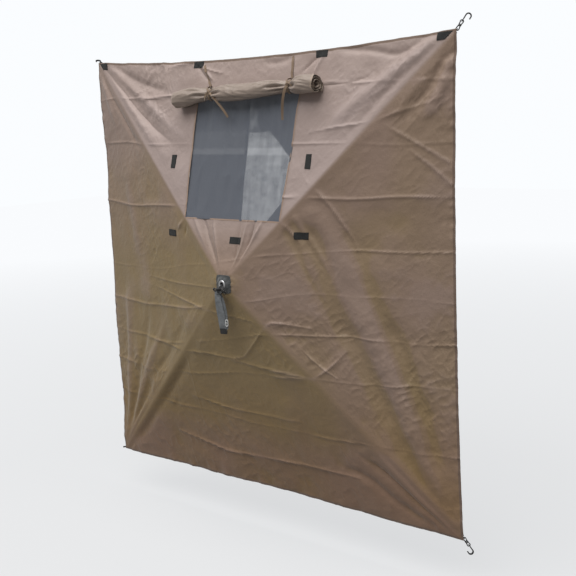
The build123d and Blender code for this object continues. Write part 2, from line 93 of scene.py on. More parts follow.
HALVES = ((-1, "left"), (1, "right"))
CORNERS = {"tl": (-1, 1), "tr": (1, 1), "br": (1, -1), "bl": (-1, -1)}
RIGHTWARD = np.array([1.0, 0, 0])
FORWARD = np.array([0, -1.0, 0])

# out: from the hub up the middle of the facet; reach: length that way;
# half: half the length of the outer edge
Facet = namedtuple("Facet", "out across normal reach half")


def level_facet(sign):
    return Facet(np.array([0, DEPTH, sign * HALF_HEIGHT]) / SLOPE_TOP, RIGHTWARD,
                 np.array([0, -HALF_HEIGHT, sign * DEPTH]) / SLOPE_TOP, SLOPE_TOP, HALF_WIDTH)


def upright_facet(sign):
    return Facet(np.array([sign * HALF_WIDTH, DEPTH, 0]) / SLOPE_SIDE, np.array([0, 0, 1.0]),
                 np.array([sign * DEPTH, -HALF_WIDTH, 0]) / SLOPE_SIDE, SLOPE_SIDE, HALF_HEIGHT)


FACETS = {"top": level_facet(1), "bottom": level_facet(-1),
          "right": upright_facet(1), "left": upright_facet(-1)}
UP_TOP, OFF_TOP = FACETS["top"].out, FACETS["top"].normal

# each panel is half a facet: facet, and the sign of its half
PANELS = {
    "top_left": ("top", -1), "top_right": ("top", 1),
    "right_upper": ("right", 1), "right_lower": ("right", -1),
    "bottom_right": ("bottom", 1), "bottom_left": ("bottom", -1),
    "left_lower": ("left", -1), "left_upper": ("left", 1),
}


# ------------------------------------------------------------------ small maths
def smooth(x, low=0.0, high=1.0):
    """Ease from 0 at low to 1 at high."""
    t = np.clip((np.asarray(x, float) - low) / (high - low), 0, 1)
    return t * t * (3 - 2 * t)


def bell(x, width, centre=0.0):
    return np.exp(-((x - centre) / width) ** 2)


def noise(x, y, seed):
    """Smooth value noise in [-1, 1]."""
    grid = np.random.default_rng(seed).uniform(-1, 1, (64, 64))
    col, row = np.floor(x).astype(int), np.floor(y).astype(int)
    u, v = x - col, y - row
    u = u * u * u * (u * (u * 6 - 15) + 10)
    v = v * v * v * (v * (v * 6 - 15) + 10)
    near = grid[col % 64, row % 64] * (1 - u) + grid[(col + 1) % 64, row % 64] * u
    far = grid[col % 64, (row + 1) % 64] * (1 - u) + grid[(col + 1) % 64, (row + 1) % 64] * u
    return near * (1 - v) + far * v


def unit(v):
    return v / (np.linalg.norm(v, axis=-1, keepdims=True) + 1e-12)


def facing(normals, toward):
    """Unit normals, turned to the side that toward points to."""
    return unit(normals * np.sign((normals * toward).sum(-1))[..., None])


def grid_normals(points, toward):
    return facing(np.cross(np.gradient(points, axis=0), np.gradient(points, axis=1)), toward)


def heading(line):
    return unit(np.gradient(line, axis=0))


def mesh_grid(u, v):
    return np.meshgrid(u, v, indexing="ij")


def spline(points, count, closed=False):
    """Catmull-Rom curve through the points."""
    points = np.array(points, float)
    if closed:
        padded = np.vstack([points[-1:], points, points[:2]])
        spans = len(points)
    else:
        padded = np.vstack([2 * points[0] - points[1], points, 2 * points[-1] - points[-2]])
        spans = len(points) - 1
    line = []
    for at in np.linspace(0, spans, count, endpoint=not closed):
        k = min(int(at), spans - 1)
        t = at - k
        before, start, end, after = padded[k:k + 4]
        line.append(0.5 * (2 * start + (end - before) * t
                           + (2 * before - 5 * start + 4 * end - after) * t * t
                           + (3 * start - before - 3 * end + after) * t ** 3))
    return np.array(line)


def top_point(x, up, off):
    """Point over the top facet: across it, up it and off it."""
    x, up, off = (np.asarray(v)[..., None] for v in (x, up, off))
    return x * RIGHTWARD + up * UP_TOP + off * OFF_TOP


def top_edge(across):
    """Distance up the top facet of its sagging outer edge."""
    return SLOPE_TOP - SAG["top"] * (1 - (across / HALF_WIDTH) ** 2)


# ------------------------------------------------------------------ folds of the cloth
# width, height, share of the height at the start and at the end, points (x, z)
FOLDS = [
    # fan of pulled folds from the upper left corner
    (24, -4.6, .5, .1, [(-850, 828), (-795, 796), (-672, 717), (-544, 618), (-420, 540),
                        (-286, 469)]),
    (10, -3.6, .9, .1, [(-850, 832), (-818, 812), (-754, 764), (-683, 712), (-612, 656),
                        (-544, 610), (-463, 561), (-342, 505)]),
    (17, 3.7, .6, .1, [(-845, 840), (-797, 830), (-708, 770), (-600, 712), (-490, 645),
                       (-370, 570), (-280, 515)]),
    (12, -2.6, .6, .3, [(-800, 832), (-749, 818), (-633, 768), (-516, 733), (-404, 705)]),
    (26, 5.5, .5, .1, [(-850, 822), (-745, 748), (-630, 652), (-505, 548), (-390, 462)]),
    (13, -3.8, .7, .0, [(-850, 820), (-840, 798), (-770, 705), (-696, 619), (-623, 539),
                        (-556, 470)]),
    (30, -3.0, .3, .0, [(-760, 815), (-661, 765), (-472, 722), (-380, 710)]),
    (16, 3.5, .5, .0, [(-856, 810), (-800, 680), (-745, 560)]),
    # folds from the upper right corner, along the ridge
    (18, -3.6, .7, .1, [(858, 828), (826, 803), (723, 725), (634, 655), (546, 571), (450, 490)]),
    (24, 5.4, .5, .1, [(850, 832), (787, 805), (681, 742), (585, 682), (470, 600), (370, 515)]),
    (22, -5.0, .5, .0, [(862, 800), (800, 690), (720, 600), (650, 540)]),
    (16, 3.5, .4, .0, [(858, 780), (830, 660), (770, 560)]),
    (12, -3.5, .2, .4, [(398, 820), (550, 806), (674, 788), (782, 838)]),
    (8, -2.5, .6, .1, [(374, 700), (523, 709), (582, 738)]),
    (7, 2.2, .4, .3, [(332, 542), (450, 556), (585, 573), (720, 610), (824, 638)]),
    (7, 2.2, .2, .8, [(638, 558), (740, 500), (853, 434)]),
    (7, 2.2, .3, .6, [(721, 475), (800, 415), (874, 350)]),
    # long soft folds from the window's corner to the lower right corner
    (34, -8.0, .5, .5, [(300, 215), (355, 185), (379, 130), (405, 57), (425, -10), (459, -105),
                        (495, -175), (532, -257), (589, -364), (636, -458), (684, -560),
                        (770, -690), (862, -815)]),
    (40, 8.5, .5, .5, [(372, 250), (412, 214), (457, 122), (505, 6), (540, -75), (578, -163),
                       (643, -304), (705, -450), (747, -576), (808, -690), (868, -820)]),
    (30, -9.0, .3, .4, [(500, 185), (533, 135), (568, 25), (603, -60), (650, -158), (697, -272),
                        (738, -388), (769, -488), (797, -599), (845, -730)]),
    (16, -4.0, .6, .2, [(262, 200), (289, 156), (340, 44), (391, -50), (447, -150)]),
    (6, 2.4, .5, .4, [(346, -330), (412, -283), (475, -220)]),
    (6, 2.0, .3, .5, [(307, -225), (374, -278), (438, -317)]),
    (12, 4.0, .8, .1, [(300, 250), (330, 200), (380, 130), (440, 30)]),
    (9, 3.0, .5, .6, [(345, 372), (416, 311), (503, 192), (527, 141)]),
    (22, 9.0, .1, .7, [(560, -560), (640, -625), (764, -739), (861, -822)]),
    (18, -5.0, .2, .5, [(389, -665), (518, -698), (628, -770), (760, -822)]),
    (14, -5.5, .1, .5, [(480, -600), (590, -660), (700, -740), (850, -835)]),
    # sharp folds at the lower left corner
    (12, 6.0, .5, .0, [(-866, -838), (-790, -745), (-700, -640), (-610, -560)]),
    (26, -7.0, .4, .1, [(-866, -842), (-760, -760), (-597, -612), (-366, -394), (-186, -201)]),
    (22, 4.0, .5, .0, [(-860, -830), (-785, -516), (-743, -154), (-730, 60)]),
    (22, -4.5, .5, .0, [(-860, -830), (-719, -503), (-600, -240), (-540, -60)]),
    (20, 4.5, .5, .0, [(-860, -832), (-655, -490), (-480, -250), (-397, -109)]),
    (20, -4.0, .5, .2, [(-860, -834), (-592, -478), (-400, -300), (-240, -120)]),
    (30, 3.0, .0, .0, [(-700, 420), (-650, 200), (-620, -20)]),
    # gathers from the window's lower edge to the hub
    (9, -4.5, .4, .6, [(-139, 232), (-95, 150), (-50, 80), (-25, 40)]),
    (8, 4.0, .4, .6, [(-89, 232), (-60, 150), (-32, 70), (-14, 40)]),
    (11, 4.5, .4, .6, [(-191, 232), (-130, 150), (-70, 75), (-36, 40)]),
    (9, -4.0, .4, .6, [(52, 232), (47, 130), (36, 70), (16, 40)]),
    (8, 4.0, .4, .6, [(90, 232), (72, 140), (50, 80), (22, 40)]),
    (9, -4.5, .4, .6, [(126, 232), (100, 150), (62, 75), (30, 40)]),
    (10, 4.5, .4, .6, [(165, 236), (125, 165), (75, 85), (40, 46)]),
    (9, 3.5, .8, .0, [(-240, 240), (-262, 216), (-300, 180)]),
    (8, -3.0, .8, .0, [(-225, 236), (-235, 200), (-260, 150)]),
    (10, 3.5, .8, .0, [(240, 240), (270, 210), (320, 150)]),
    # pulls at the roll and at the patches above it
    (8, -3.5, .9, .3, [(-264, 800), (-236, 770), (-190, 735)]),
    (7, 3.0, .9, .3, [(-250, 800), (-215, 775), (-170, 738)]),
    (6, 2.0, .9, .0, [(-230, 792), (-180, 778), (-110, 765)]),
    (14, -3.5, .3, .3, [(-470, 832), (-400, 822), (-330, 838)]),
    (10, 3.0, .0, .6, [(-440, 800), (-380, 812), (-300, 815)]),
    (8, -3.0, .9, .3, [(330, 800), (290, 770), (262, 745)]),
    (8, 2.6, .9, .3, [(350, 796), (330, 760), (318, 730)]),
    (12, -2.5, .0, .2, [(60, 800), (140, 790), (240, 812)]),
    # sharp single creases left by packing
    (5, 2.4, .2, .9, [(-586, 683), (-480, 690), (-350, 694)]),
    (6, 2.6, .3, .9, [(-550, -24), (-330, -30), (-74, -19)]),
    (6, 2.6, .4, .5, [(-488, -63), (-260, -95), (-77, -116), (20, -128), (185, -141)]),
    (6, 2.2, .3, .8, [(-584, -282), (-341, -301), (-189, -297), (-29, -300)]),
    (8, 3.2, .8, .5, [(-29, -300), (30, -280), (119, -198), (170, -148), (206, -133),
                      (342, -143)]),
    (7, 2.6, .6, .5, [(-48, -308), (80, -318), (217, -323), (350, -328)]),
    (6, 2.4, .3, .4, [(-320, -500), (-125, -523), (60, -520), (236, -518)]),
    (7, 3.4, .5, .5, [(-467, -683), (-330, -702), (-187, -720), (0, -712), (187, -704),
                      (340, -702), (472, -700)]),
]
NARROW_FOLD = 12        # folds under this width have a crisp profile

# packing creases: heights z at the left and right edges, and stations x of the upright ones
LEVEL_CREASES = [(512, 500), (268, 322), (4, 134), (-150, -24), (-290, -168), (-420, -326),
                 (-560, -560), (690, 700)]
UPRIGHT_CREASES = (-620, -300, 330, 660)


def curve_field(x, z, points):
    """Distance to a curve, and the share of its length where the nearest point is."""
    line = spline(points, 6 * (len(points) - 1) + 1)
    spans = line[1:] - line[:-1]
    lengths = np.hypot(spans[:, 0], spans[:, 1])
    run = np.concatenate([[0], np.cumsum(lengths)])
    nearest = np.full(x.shape, 1e9)
    share = np.zeros(x.shape)
    for i, (span_x, span_z) in enumerate(spans):
        dx, dz = x - line[i, 0], z - line[i, 1]
        along = np.clip((dx * span_x + dz * span_z) / (lengths[i] ** 2 + 1e-9), 0, 1)
        distance = np.hypot(dx - along * span_x, dz - along * span_z)
        closer = distance < nearest
        nearest = np.where(closer, distance, nearest)
        share = np.where(closer, (run[i] + along * lengths[i]) / run[-1], share)
    return nearest, share


def folds(x, z):
    height = np.zeros(x.shape)
    for width, peak, start, end, points in FOLDS:
        low = np.min(points, axis=0) - 4 * width
        high = np.max(points, axis=0) + 4 * width
        near = (x > low[0]) & (x < high[0]) & (z > low[1]) & (z < high[1])
        if not near.any():
            continue
        distance, share = curve_field(x[near], z[near], points)
        fade = np.where(share < 0.25, start + (1 - start) * smooth(share, 0, .25), 1.0)
        fade = np.where(share > 0.6, end + (1 - end) * (1 - smooth(share, .6, 1.0)), fade)
        if width < NARROW_FOLD:
            core = np.exp(-np.abs(distance / (0.66 * width)) ** 1.6)
            height[near] += peak * fade * (1.5 * core + 0.45 * bell(distance, 1.9 * width))
        else:
            height[near] += peak * 1.75 * fade * bell(distance, width)
    return height


def packing_creases(x, z):
    """Narrow ridges, with the cloth tilting a little beside the level ones."""
    height = np.zeros(x.shape)
    for i, (left, right) in enumerate(LEVEL_CREASES):
        share = (x + HALF_WIDTH) / (2 * HALF_WIDTH)
        waver = 5.0 * np.sin(x / 170.0 + i * 1.7) + 3.0 * np.sin(x / 61.0 + i * 2.9)
        dz = z - (left + (right - left) * smooth(share, 0.15, 0.75) + waver)
        strength = 0.35 + 0.65 * smooth(noise(x / 150.0 + i * 3.1, i * 5.3, 21), -.45, .35)
        tilt = 2.6 * np.exp(-np.abs(dz) / 46.0) * (1 if i % 2 else -1)
        height += strength * (3.4 * np.exp(-np.abs(dz / 4.8) ** 1.5) + tilt)
    for i, station in enumerate(UPRIGHT_CREASES):
        dx = x - station - 4 * np.sin(z / 120.0 + i)
        strength = smooth(noise(i * 2.2, z / 170.0 + i, 22), 0.0, .7)
        height += 1.5 * strength * np.exp(-np.abs(dx / 5.0) ** 1.5)
    return height


def crush(u, v, seed):
    """Sharp-ridged crumples, longer along u, with their grid warped by slow noise."""
    u, v = (u + 9.0 * noise(v / 70.0, u / 90.0, seed + 40),
            v + 9.0 * noise(u / 80.0, v / 60.0, seed + 41))
    return 1 - 2.4 * np.abs(noise(u / 44.0, v / 27.0, seed))


def crumples(x, z):
    """Slow waves, and small crushed wrinkles in several directions."""
    height = 4.0 * noise(x / 210.0 + 5, z / 210.0 + 9, 1) + 2.2 * noise(x / 95.0, z / 80.0, 2)
    rough = smooth(noise(x / 260.0 + 3, z / 230.0 + 4, 3), -.2, .8)
    diagonal_u, diagonal_v = (x + z) * 0.7071, (x - z) * 0.7071
    gentle_u, gentle_v = x * 0.94 + z * 0.34, -x * 0.34 + z * 0.94
    steep_u, steep_v = x * 0.50 - z * 0.866, x * 0.866 + z * 0.50
    height += 1.2 * (0.30 + 0.70 * rough) * (
        0.80 * crush(diagonal_u, diagonal_v, 4) + 0.65 * crush(gentle_u, gentle_v, 5)
        + 0.55 * crush(steep_u * 1.7, steep_v * 1.7, 7)
        + 0.25 * crush(gentle_v * 2.4, gentle_u * 2.4, 8))
    low = smooth(-z, 380, 620)
    height += low * (0.8 * crush(gentle_v, gentle_u * 0.8, 6)
                     + 1.5 * noise(gentle_u / 70.0 + 3, gentle_v / 150.0, 11))
    # pulls across the left-hand facet run up from the corner
    left = smooth(-x - np.abs(z), -60, 200)
    wave = np.sin(x / 24.0 + z / 260.0 + 2.0 * noise(x / 200.0, z / 300.0, 12))
    return height + left * 1.8 * wave * smooth(-z, -450, 300)


def edge_puckers(x, z):
    """Ripples where the cloth is sewn along the outer edges."""
    level_bow, upright_bow = 1 - (x / HALF_WIDTH) ** 2, 1 - (z / HALF_HEIGHT) ** 2
    top = HALF_HEIGHT - SAG["top"] * level_bow - z
    bottom = z + HALF_HEIGHT - SAG["bottom"] * level_bow
    right = HALF_WIDTH - SAG["right"] * upright_bow - x
    left = x + HALF_WIDTH - SAG["left"] * upright_bow
    height = (np.exp(-np.abs(right - 12) / 14.0) * np.sin(z / 6.5 + 2 * np.sin(z / 47.0))
              * smooth(z, -850, 300) * (0.4 + np.abs(noise(z / 60.0, 0.0, 35))))
    # distance from the edge, middle of the ripples, their reach and height,
    # place along the edge, length of a ripple, seed
    for edge, inset, reach, peak, along, length, seed in (
            (right, 10, 16.0, 2.56, z, 24.0, 31), (left, 8, 12.0, 2.1, z, 22.0, 32),
            (top, 10, 26.0, 3.6, x, 42.0, 33), (bottom, 10, 20.0, 3.6, x, 40.0, 34)):
        height += peak * np.exp(-np.abs(edge - inset) / reach) * noise(along / length, 0.0, seed)
    return height


def relief(x, z):
    """Height of the folds over the flat facet."""
    return folds(x, z) + packing_creases(x, z) + crumples(x, z) + edge_puckers(x, z)


def from_middle(x, z):
    """Distance from the middle line of whichever facet the point is on."""
    return np.where(np.abs(z) / HALF_HEIGHT > np.abs(x) / HALF_WIDTH, np.abs(x), np.abs(z))


def envelope(x, z):
    """Share of the relief kept: little at the ridges, the hub and under the rolled flap."""
    share_x, share_z = np.abs(x) / HALF_WIDTH, np.abs(z) / HALF_HEIGHT
    ridge = np.abs(share_x - share_z) * DIAGONAL * 0.5    # roughly, distance to a ridge
    clear = smooth(ridge, 2, 46) * smooth(np.hypot(x, z), 45, 120)
    middle = from_middle(x, z)
    taut = np.where(share_z > share_x, 0.60 + 0.40 * smooth(middle, 0, 150),
                    0.38 + 0.62 * smooth(middle, 0, 190))
    beyond_roll = np.hypot(np.maximum(np.abs(x - 10) - 350, 0),
                           np.maximum(np.abs(z / 0.970 - 706) - 34, 0))
    return clear * taut * (0.25 + 0.75 * smooth(beyond_roll, 0, 40))


def facet_depth(x, z):
    return DEPTH * np.maximum(np.abs(x) / HALF_WIDTH, np.abs(z) / HALF_HEIGHT)


def bulge(x, z):
    """How far the round hub, of radius 51, holds the cloth forward of its flat facets."""
    flat = facet_depth(x, z)
    radius = np.hypot(x, z)
    hub = 8.6 + 0.335 * np.maximum(radius - 51.0, 0) - 0.16 * np.clip(51.0 - radius, 0, 30)
    k = np.clip(0.5 + 0.5 * (hub - flat) / 2.0, 0, 1)      # blends the two over 2 mm
    return flat - (hub * (1 - k) + flat * k - 2.0 * k * (1 - k))


def surface(side, out, across):
    """Points of the finished fabric."""
    facet = FACETS[side]
    points = out[..., None] * facet.out + across[..., None] * facet.across
    x, z = points[..., 0], points[..., 2]
    height = relief(x, z) * envelope(x, z)
    cap = 3.6 + 40 * smooth(from_middle(x, z), 0, 200)
    height = np.where(height > 0, cap * np.tanh(height / cap), height) + bulge(x, z)
    return points + height[..., None] * facet.normal


def neighbour(side, sign):
    """The facet over the ridge on that side."""
    pair = ("left", "right") if side in ("top", "bottom") else ("bottom", "top")
    return FACETS[pair[sign > 0]]


def with_normals(side, out, across):
    facet = FACETS[side]
    step = 2.0
    points = surface(side, out, across)
    outward = surface(side, out + step, across) - points
    sideways = surface(side, out, across + step) - points
    normals = facing(np.cross(outward, sideways), facet.normal)
    x, z = points[..., 0], points[..., 2]
    # ease the normals across the ridge, where the cloth bends round the pole
    width = np.where((x > 0) & (z > 0), 7.0 + 34.0 * smooth(x, 420, 860),
                     np.where(x > 0, 10.0 + 16 * smooth(x, 300, 860), 7.0))
    for sign in (1, -1):
        ridge = facet.half * out - facet.reach * across * sign
        ridge = ridge / math.hypot(facet.half, facet.reach)
        share = (0.5 * (1 - smooth(ridge / width, 0, 1)) * (across * sign >= 0))[..., None]
        bent = normals - facet.normal + neighbour(side, sign).normal
        normals = normals * (1 - share) + bent * share
    return points, unit(normals)


def on_wall(side, across, out, lift):
    points, normals = with_normals(side, np.asarray(out, float), np.asarray(across, float))
    return points + normals * lift, normals


# ------------------------------------------------------------------ mesh makers
def tell(ob, body=None, replaces=None):
    if body:
        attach(ob, body)
    if replaces:
        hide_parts(replaces)


def add_attribute(mesh, name, values):
    attribute = mesh.attributes.new(name, "FLOAT", "POINT")
    attribute.data.foreach_set("value", np.asarray(values, np.float32))


def add_mesh(name, points, faces, materials, material_index, normals=None, attributes=None):
    mesh = bpy.data.meshes.new(name)
    mesh.from_pydata((points * MM).tolist(), [], faces)
    for material in materials:
        mesh.materials.append(material)
    mesh.polygons.foreach_set("material_index", np.asarray(material_index, np.int32))
    mesh.polygons.foreach_set("use_smooth", np.full(len(mesh.polygons), True))
    for key, values in (attributes or {}).items():
        add_attribute(mesh, key, values)
    mesh.update()
    if normals is not None:
        mesh.normals_split_custom_set_from_vertices([tuple(n) for n in normals])
    ob = bpy.data.objects.new(name, mesh)
    bpy.context.scene.collection.objects.link(ob)
    return ob


def grid_faces(grid, start, wrap=False):
    rows, cols = grid.shape[:2]
    index = np.arange(rows * cols).reshape(rows, cols) + start
    if wrap:
        index = np.concatenate([index, index[:, :1]], 1)
    corners = [index[:-1, :-1], index[1:, :-1], index[1:, 1:], index[:-1, 1:]]
    return np.stack(corners, -1).reshape(-1, 4)


def add_grids(name, grids, material, wrap=True):
    """One mesh of several grids; wrap closes each row into a ring."""
    faces, count = [], 0
    for grid in grids:
        faces += grid_faces(grid, count, wrap).tolist()
        count += grid.shape[0] * grid.shape[1]
    points = np.concatenate([grid.reshape(-1, 3) for grid in grids])
    return add_mesh(name, points, faces, [material], np.zeros(len(faces)))


def tone(points):
    """Shares of the olive and the pale colour, which are painted shade and painted light: pale on
    the upper facet and upper left, olive on the left, below and in hollows; folds catch more or
    less."""
    x, z = points[..., 0], points[..., 2]
    share_x, share_z = np.abs(x) / HALF_WIDTH, np.abs(z) / HALF_HEIGHT
    top = (z > 0) * smooth(share_z - share_x, -0.015, 0.015)
    bottom = (z < 0) * smooth(share_z - share_x, -0.03, 0.03)
    left = (x < 0) * smooth(share_x - share_z, -0.02, 0.02)
    right = (x > 0) * smooth(share_x - share_z, -0.02, 0.02)
    height = relief(x, z)
    raised = smooth(height, 1.5, 7.0)
    # painted shade: olive on the left and bottom facets, which face away from the key light, and
    # a little on the right
    olive = (bottom * (1.0 - 0.75 * smooth(-z, 520, 700) - 0.5 * smooth(x, 150, 600))
             + left * (0.50 - 0.38 * smooth(z, 300, 620) + 0.5 * smooth(-z, -320, 60)
                       - 0.25 * smooth(x, -700, -850))
             + right * (0.12 + 0.25 * smooth(-z, 0, 500)))
    # a random drift of tone; then painted shade in the hollows of the folds, and less olive on
    # raised folds as painted light
    drift = 0.22 * noise(x / 120.0 + 2, z / 260.0, 91)
    valley_shade = 0.42 * smooth(-height, 1.0, 6.0) * (1 - smooth(z, 300, 520))
    olive = olive + (drift + valley_shade - 0.25 * raised) * (1 - top)
    # painted light: paler on the top facet and the upper left, which face the light, and on
    # raised folds
    painted_light = (top * (0.92 - 0.22 * smooth(z, 420, 760)) * smooth(z, 40, 330)
            + 0.13 * raised + 0.30 * left * smooth(z, 300, 620))
    return np.clip(olive, 0, 1), np.clip(painted_light, 0, 1)


def sheet(name, patches, materials, thick, body=None, replaces=None, tones=False):
    """A closed thin shell from grid patches that share their edges.
    patches: (points, normals, material index for all or for each quad)."""
    points, normals, faces, index, count = [], [], [], [], 0
    for grid, grid_normal, material in patches:
        rows, cols = grid.shape[:2]
        faces.append(grid_faces(grid, count))
        index.append(np.broadcast_to(np.asarray(material), (rows - 1, cols - 1)).reshape(-1))
        points.append(grid.reshape(-1, 3))
        normals.append(grid_normal.reshape(-1, 3))
        count += rows * cols
    points, normals, faces, index = map(np.concatenate, (points, normals, faces, index))
    # join points that share a 0.05 mm cell
    key = np.round(points / 0.05).astype(np.int64)
    _, first, joined = np.unique(key, axis=0, return_index=True, return_inverse=True)
    points, normals, faces = points[first], normals[first], joined.reshape(-1)[faces]
    # turn faces that look against their normals
    a, b, c, d = (points[faces[:, k]] for k in range(4))
    face_normal = np.cross(b - a, d - a) + np.cross(c - b, d - b)
    wrong = (face_normal * normals[faces[:, 0]]).sum(1) < 0
    faces[wrong] = faces[wrong][:, ::-1]
    front, front_index = [], []
    for face, material in zip(faces.tolist(), index.tolist()):
        kept = [v for i, v in enumerate(face) if v != face[i - 1]]
        if len(set(kept)) >= 3:
            front.append(kept)
            front_index.append(material)
    # the back copy, and a rim wherever an edge has only one face
    count = len(points)
    edges = {(face[i - 1], face[i]): material
             for face, material in zip(front, front_index) for i in range(len(face))}
    rim = {e: material for e, material in edges.items() if (e[1], e[0]) not in edges}
    back = [[v + count for v in reversed(face)] for face in front]
    rim_faces = [[e[1], e[0], e[0] + count, e[1] + count] for e in rim]
    attributes = None
    if tones:
        # shares of painted shade and painted light, kept as attributes for the fabric shader
        olive, painted_light = tone(points)
        attributes = {"olive": np.tile(olive, 2), "painted_light": np.tile(painted_light, 2)}
    both = np.concatenate([points + normals * (thick / 2), points - normals * (thick / 2)])
    ob = add_mesh(name, both, front + back + rim_faces, materials,
                  front_index * 2 + list(rim.values()),
                  np.concatenate([normals, -normals]), attributes)
    tell(ob, body, replaces)
    return ob


def strip(name, centre, normals, width_dir, width, material, body, replaces=None):
    """A thin tape along a centre line."""
    offset = unit(width_dir)[:, None, :] * (np.linspace(-1, 1, 7) * width / 2)[None, :, None]
    grid_normal = np.repeat(normals[:, None, :], 7, 1)
    return sheet(name, [(centre[:, None, :] + offset, grid_normal, 0)], [material], 1.0,
                 body, replaces)


def twisted(direction, flat, lifted, angle, toward):
    """Width direction and normals of a ribbon turned by angle about its line."""
    width = flat * np.cos(angle) + lifted * np.sin(angle)
    width = unit(width - (width * direction).sum(1, keepdims=True) * direction)
    return width, facing(np.cross(width, direction), toward)


def stitches(name, line, normals, material, body, radius, dash, gap):
    """A row of raised stitches along a line."""
    run = np.concatenate([[0], np.cumsum(np.linalg.norm(np.diff(line, axis=0), axis=1))])

    def at(values, place):
        return np.stack([np.interp(place, run, values[:, i]) for i in range(3)], -1)

    turn = np.linspace(0, 2 * np.pi, 7)[:-1][None, :, None]
    girth = (np.array([0.02, .8, 1, .8, 0.02]) * radius)[:, None, None]
    rise = np.array([-.4, .15, .35, .15, -.4])[:, None, None] * radius
    rings = []
    for i in range(max(int(run[-1] / (dash + gap)), 1)):
        place = np.linspace(0, 1, 5) * dash + i * (dash + gap) + gap / 2
        centre, up = at(line, place), at(normals, place)
        side = unit(np.cross(unit(centre[-1] - centre[0]), up))[:, None]
        up = up[:, None]
        rings.append(centre[:, None] + rise * up
                     + girth * (np.cos(turn) * side + np.sin(turn) * up))
    tell(add_grids(name, rings, material), body)


def tube(name, line, radius, material, body, sides=12, closed=False, braid=0.0,
         replaces=None):
    radius = np.broadcast_to(np.asarray(radius, float), (len(line),))
    direction = heading(line)
    if closed:
        direction = unit(np.roll(line, -1, 0) - np.roll(line, 1, 0))
    # carry one side direction along the line without twist
    side = unit(np.cross(direction[0], FORWARD))
    carried = []
    for ahead in direction:
        side = unit(side - (side @ ahead) * ahead)
        carried.append(side)
    side = np.array(carried)
    other = np.cross(direction, side)
    turn = np.linspace(0, 2 * np.pi, sides + 1)[:-1]
    run = np.concatenate([[0], np.cumsum(np.linalg.norm(np.diff(line, axis=0), axis=1))])
    plait = (np.sin(3 * turn[None, :] + run[:, None] * 2.0)
             * np.sin(3 * turn[None, :] - run[:, None] * 2.0))
    girth = (radius[:, None] * (1 + braid * plait))[..., None]
    turn = turn[None, :, None]
    rings = line[:, None] + girth * (np.cos(turn) * side[:, None] + np.sin(turn) * other[:, None])
    if closed:
        rings = np.concatenate([rings, rings[:1]], 0)
    else:
        # tiny end rings, which the weld below draws together
        start, end = (np.repeat(p[:, None], sides, 1) for p in (line[:1], line[-1:]))
        rings = np.concatenate([start + 1e-3 * (rings[:1] - start), rings,
                                end + 1e-3 * (rings[-1:] - end)], 0)
    ob = add_grids(name, [rings], material)
    bm = bmesh.new()
    bm.from_mesh(ob.data)
    bmesh.ops.remove_doubles(bm, verts=bm.verts, dist=2e-6)
    bmesh.ops.recalc_face_normals(bm, faces=bm.faces)
    bm.to_mesh(ob.data)
    bm.free()
    tell(ob, body, replaces)


# ------------------------------------------------------------------ shader helpers
def principled(name, color, rough=0.7, metal=0.0, sheen=0.0, spec=0.3):
    material = bpy.data.materials.new(name)
    material.use_nodes = True
    shader = material.node_tree.nodes["Principled BSDF"]
    shader.inputs["Base Color"].default_value = (*color, 1)
    shader.inputs["Roughness"].default_value = rough
    shader.inputs["Metallic"].default_value = metal
    shader.inputs["Sheen Weight"].default_value = sheen
    shader.inputs["Specular IOR Level"].default_value = spec
    return material, material.node_tree, shader


def node(tree, kind, **values):
    """A new node; each value goes to the input of that name, or else to the property."""
    new = tree.nodes.new(kind)
    for key, value in values.items():
        if key in new.inputs:
            new.inputs[key].default_value = value
        else:
            setattr(new, key, value)
    return new


def object_coords(tree):
    return node(tree, "ShaderNodeTexCoord").outputs["Object"]


def noise_node(tree, scale, detail=2.0, rough=0.5, vector=None):
    texture = node(tree, "ShaderNodeTexNoise", Scale=scale, Detail=detail, Roughness=rough)
    tree.links.new(vector or object_coords(tree), texture.inputs["Vector"])
    return texture.outputs["Fac"]


def mix(tree, fac, a, b, blend="MIX"):
    mixer = node(tree, "ShaderNodeMix", data_type="RGBA", blend_type=blend)
    for socket, value in ((0, fac), (6, a), (7, b)):     # factor, A and B of a colour mix
        if isinstance(value, float):
            mixer.inputs[socket].default_value = value
        elif isinstance(value, tuple):
            mixer.inputs[socket].default_value = (*value, 1)
        else:
            tree.links.new(value, mixer.inputs[socket])
    return mixer.outputs[2]


def ramp(tree, value, low=0.0, high=1.0, to_low=0.0, to_high=1.0):
    new = node(tree, "ShaderNodeMapRange", **{"From Min": low, "From Max": high,
                                              "To Min": to_low, "To Max": to_high})
    tree.links.new(value, new.inputs["Value"])
    return new.outputs["Result"]


def math_node(tree, operation, a, b):
    new = node(tree, "ShaderNodeMath", operation=operation)
    for socket, value in zip(new.inputs, (a, b)):
        if isinstance(value, float):
            socket.default_value = value
        else:
            tree.links.new(value, socket)
    return new.outputs[0]


def bump(tree, shader, *layers):
    """Stacked bumps; each layer is (height socket, strength, distance in metres)."""
    last = None
    for height, strength, distance in layers:
        new = node(tree, "ShaderNodeBump", Strength=strength, Distance=distance)
        tree.links.new(height, new.inputs["Height"])
        if last is not None:
            tree.links.new(last, new.inputs["Normal"])
        last = new.outputs["Normal"]
    tree.links.new(last, shader.inputs["Normal"])


def weave(tree, scale):
    """Two crossed sine bands, as warp and weft."""
    coords = object_coords(tree)
    bands = []
    for axis in ("X", "Z"):
        wave = node(tree, "ShaderNodeTexWave", wave_type="BANDS", bands_direction=axis,
                    Scale=scale, Distortion=0.3)
        tree.links.new(coords, wave.inputs["Vector"])
        bands.append(wave.outputs["Fac"])
    return math_node(tree, "MULTIPLY", *bands)


def attribute_node(tree, name):
    return node(tree, "ShaderNodeAttribute", attribute_name=name).outputs["Fac"]


def scaled(color, factor):
    return tuple(channel * factor for channel in color)


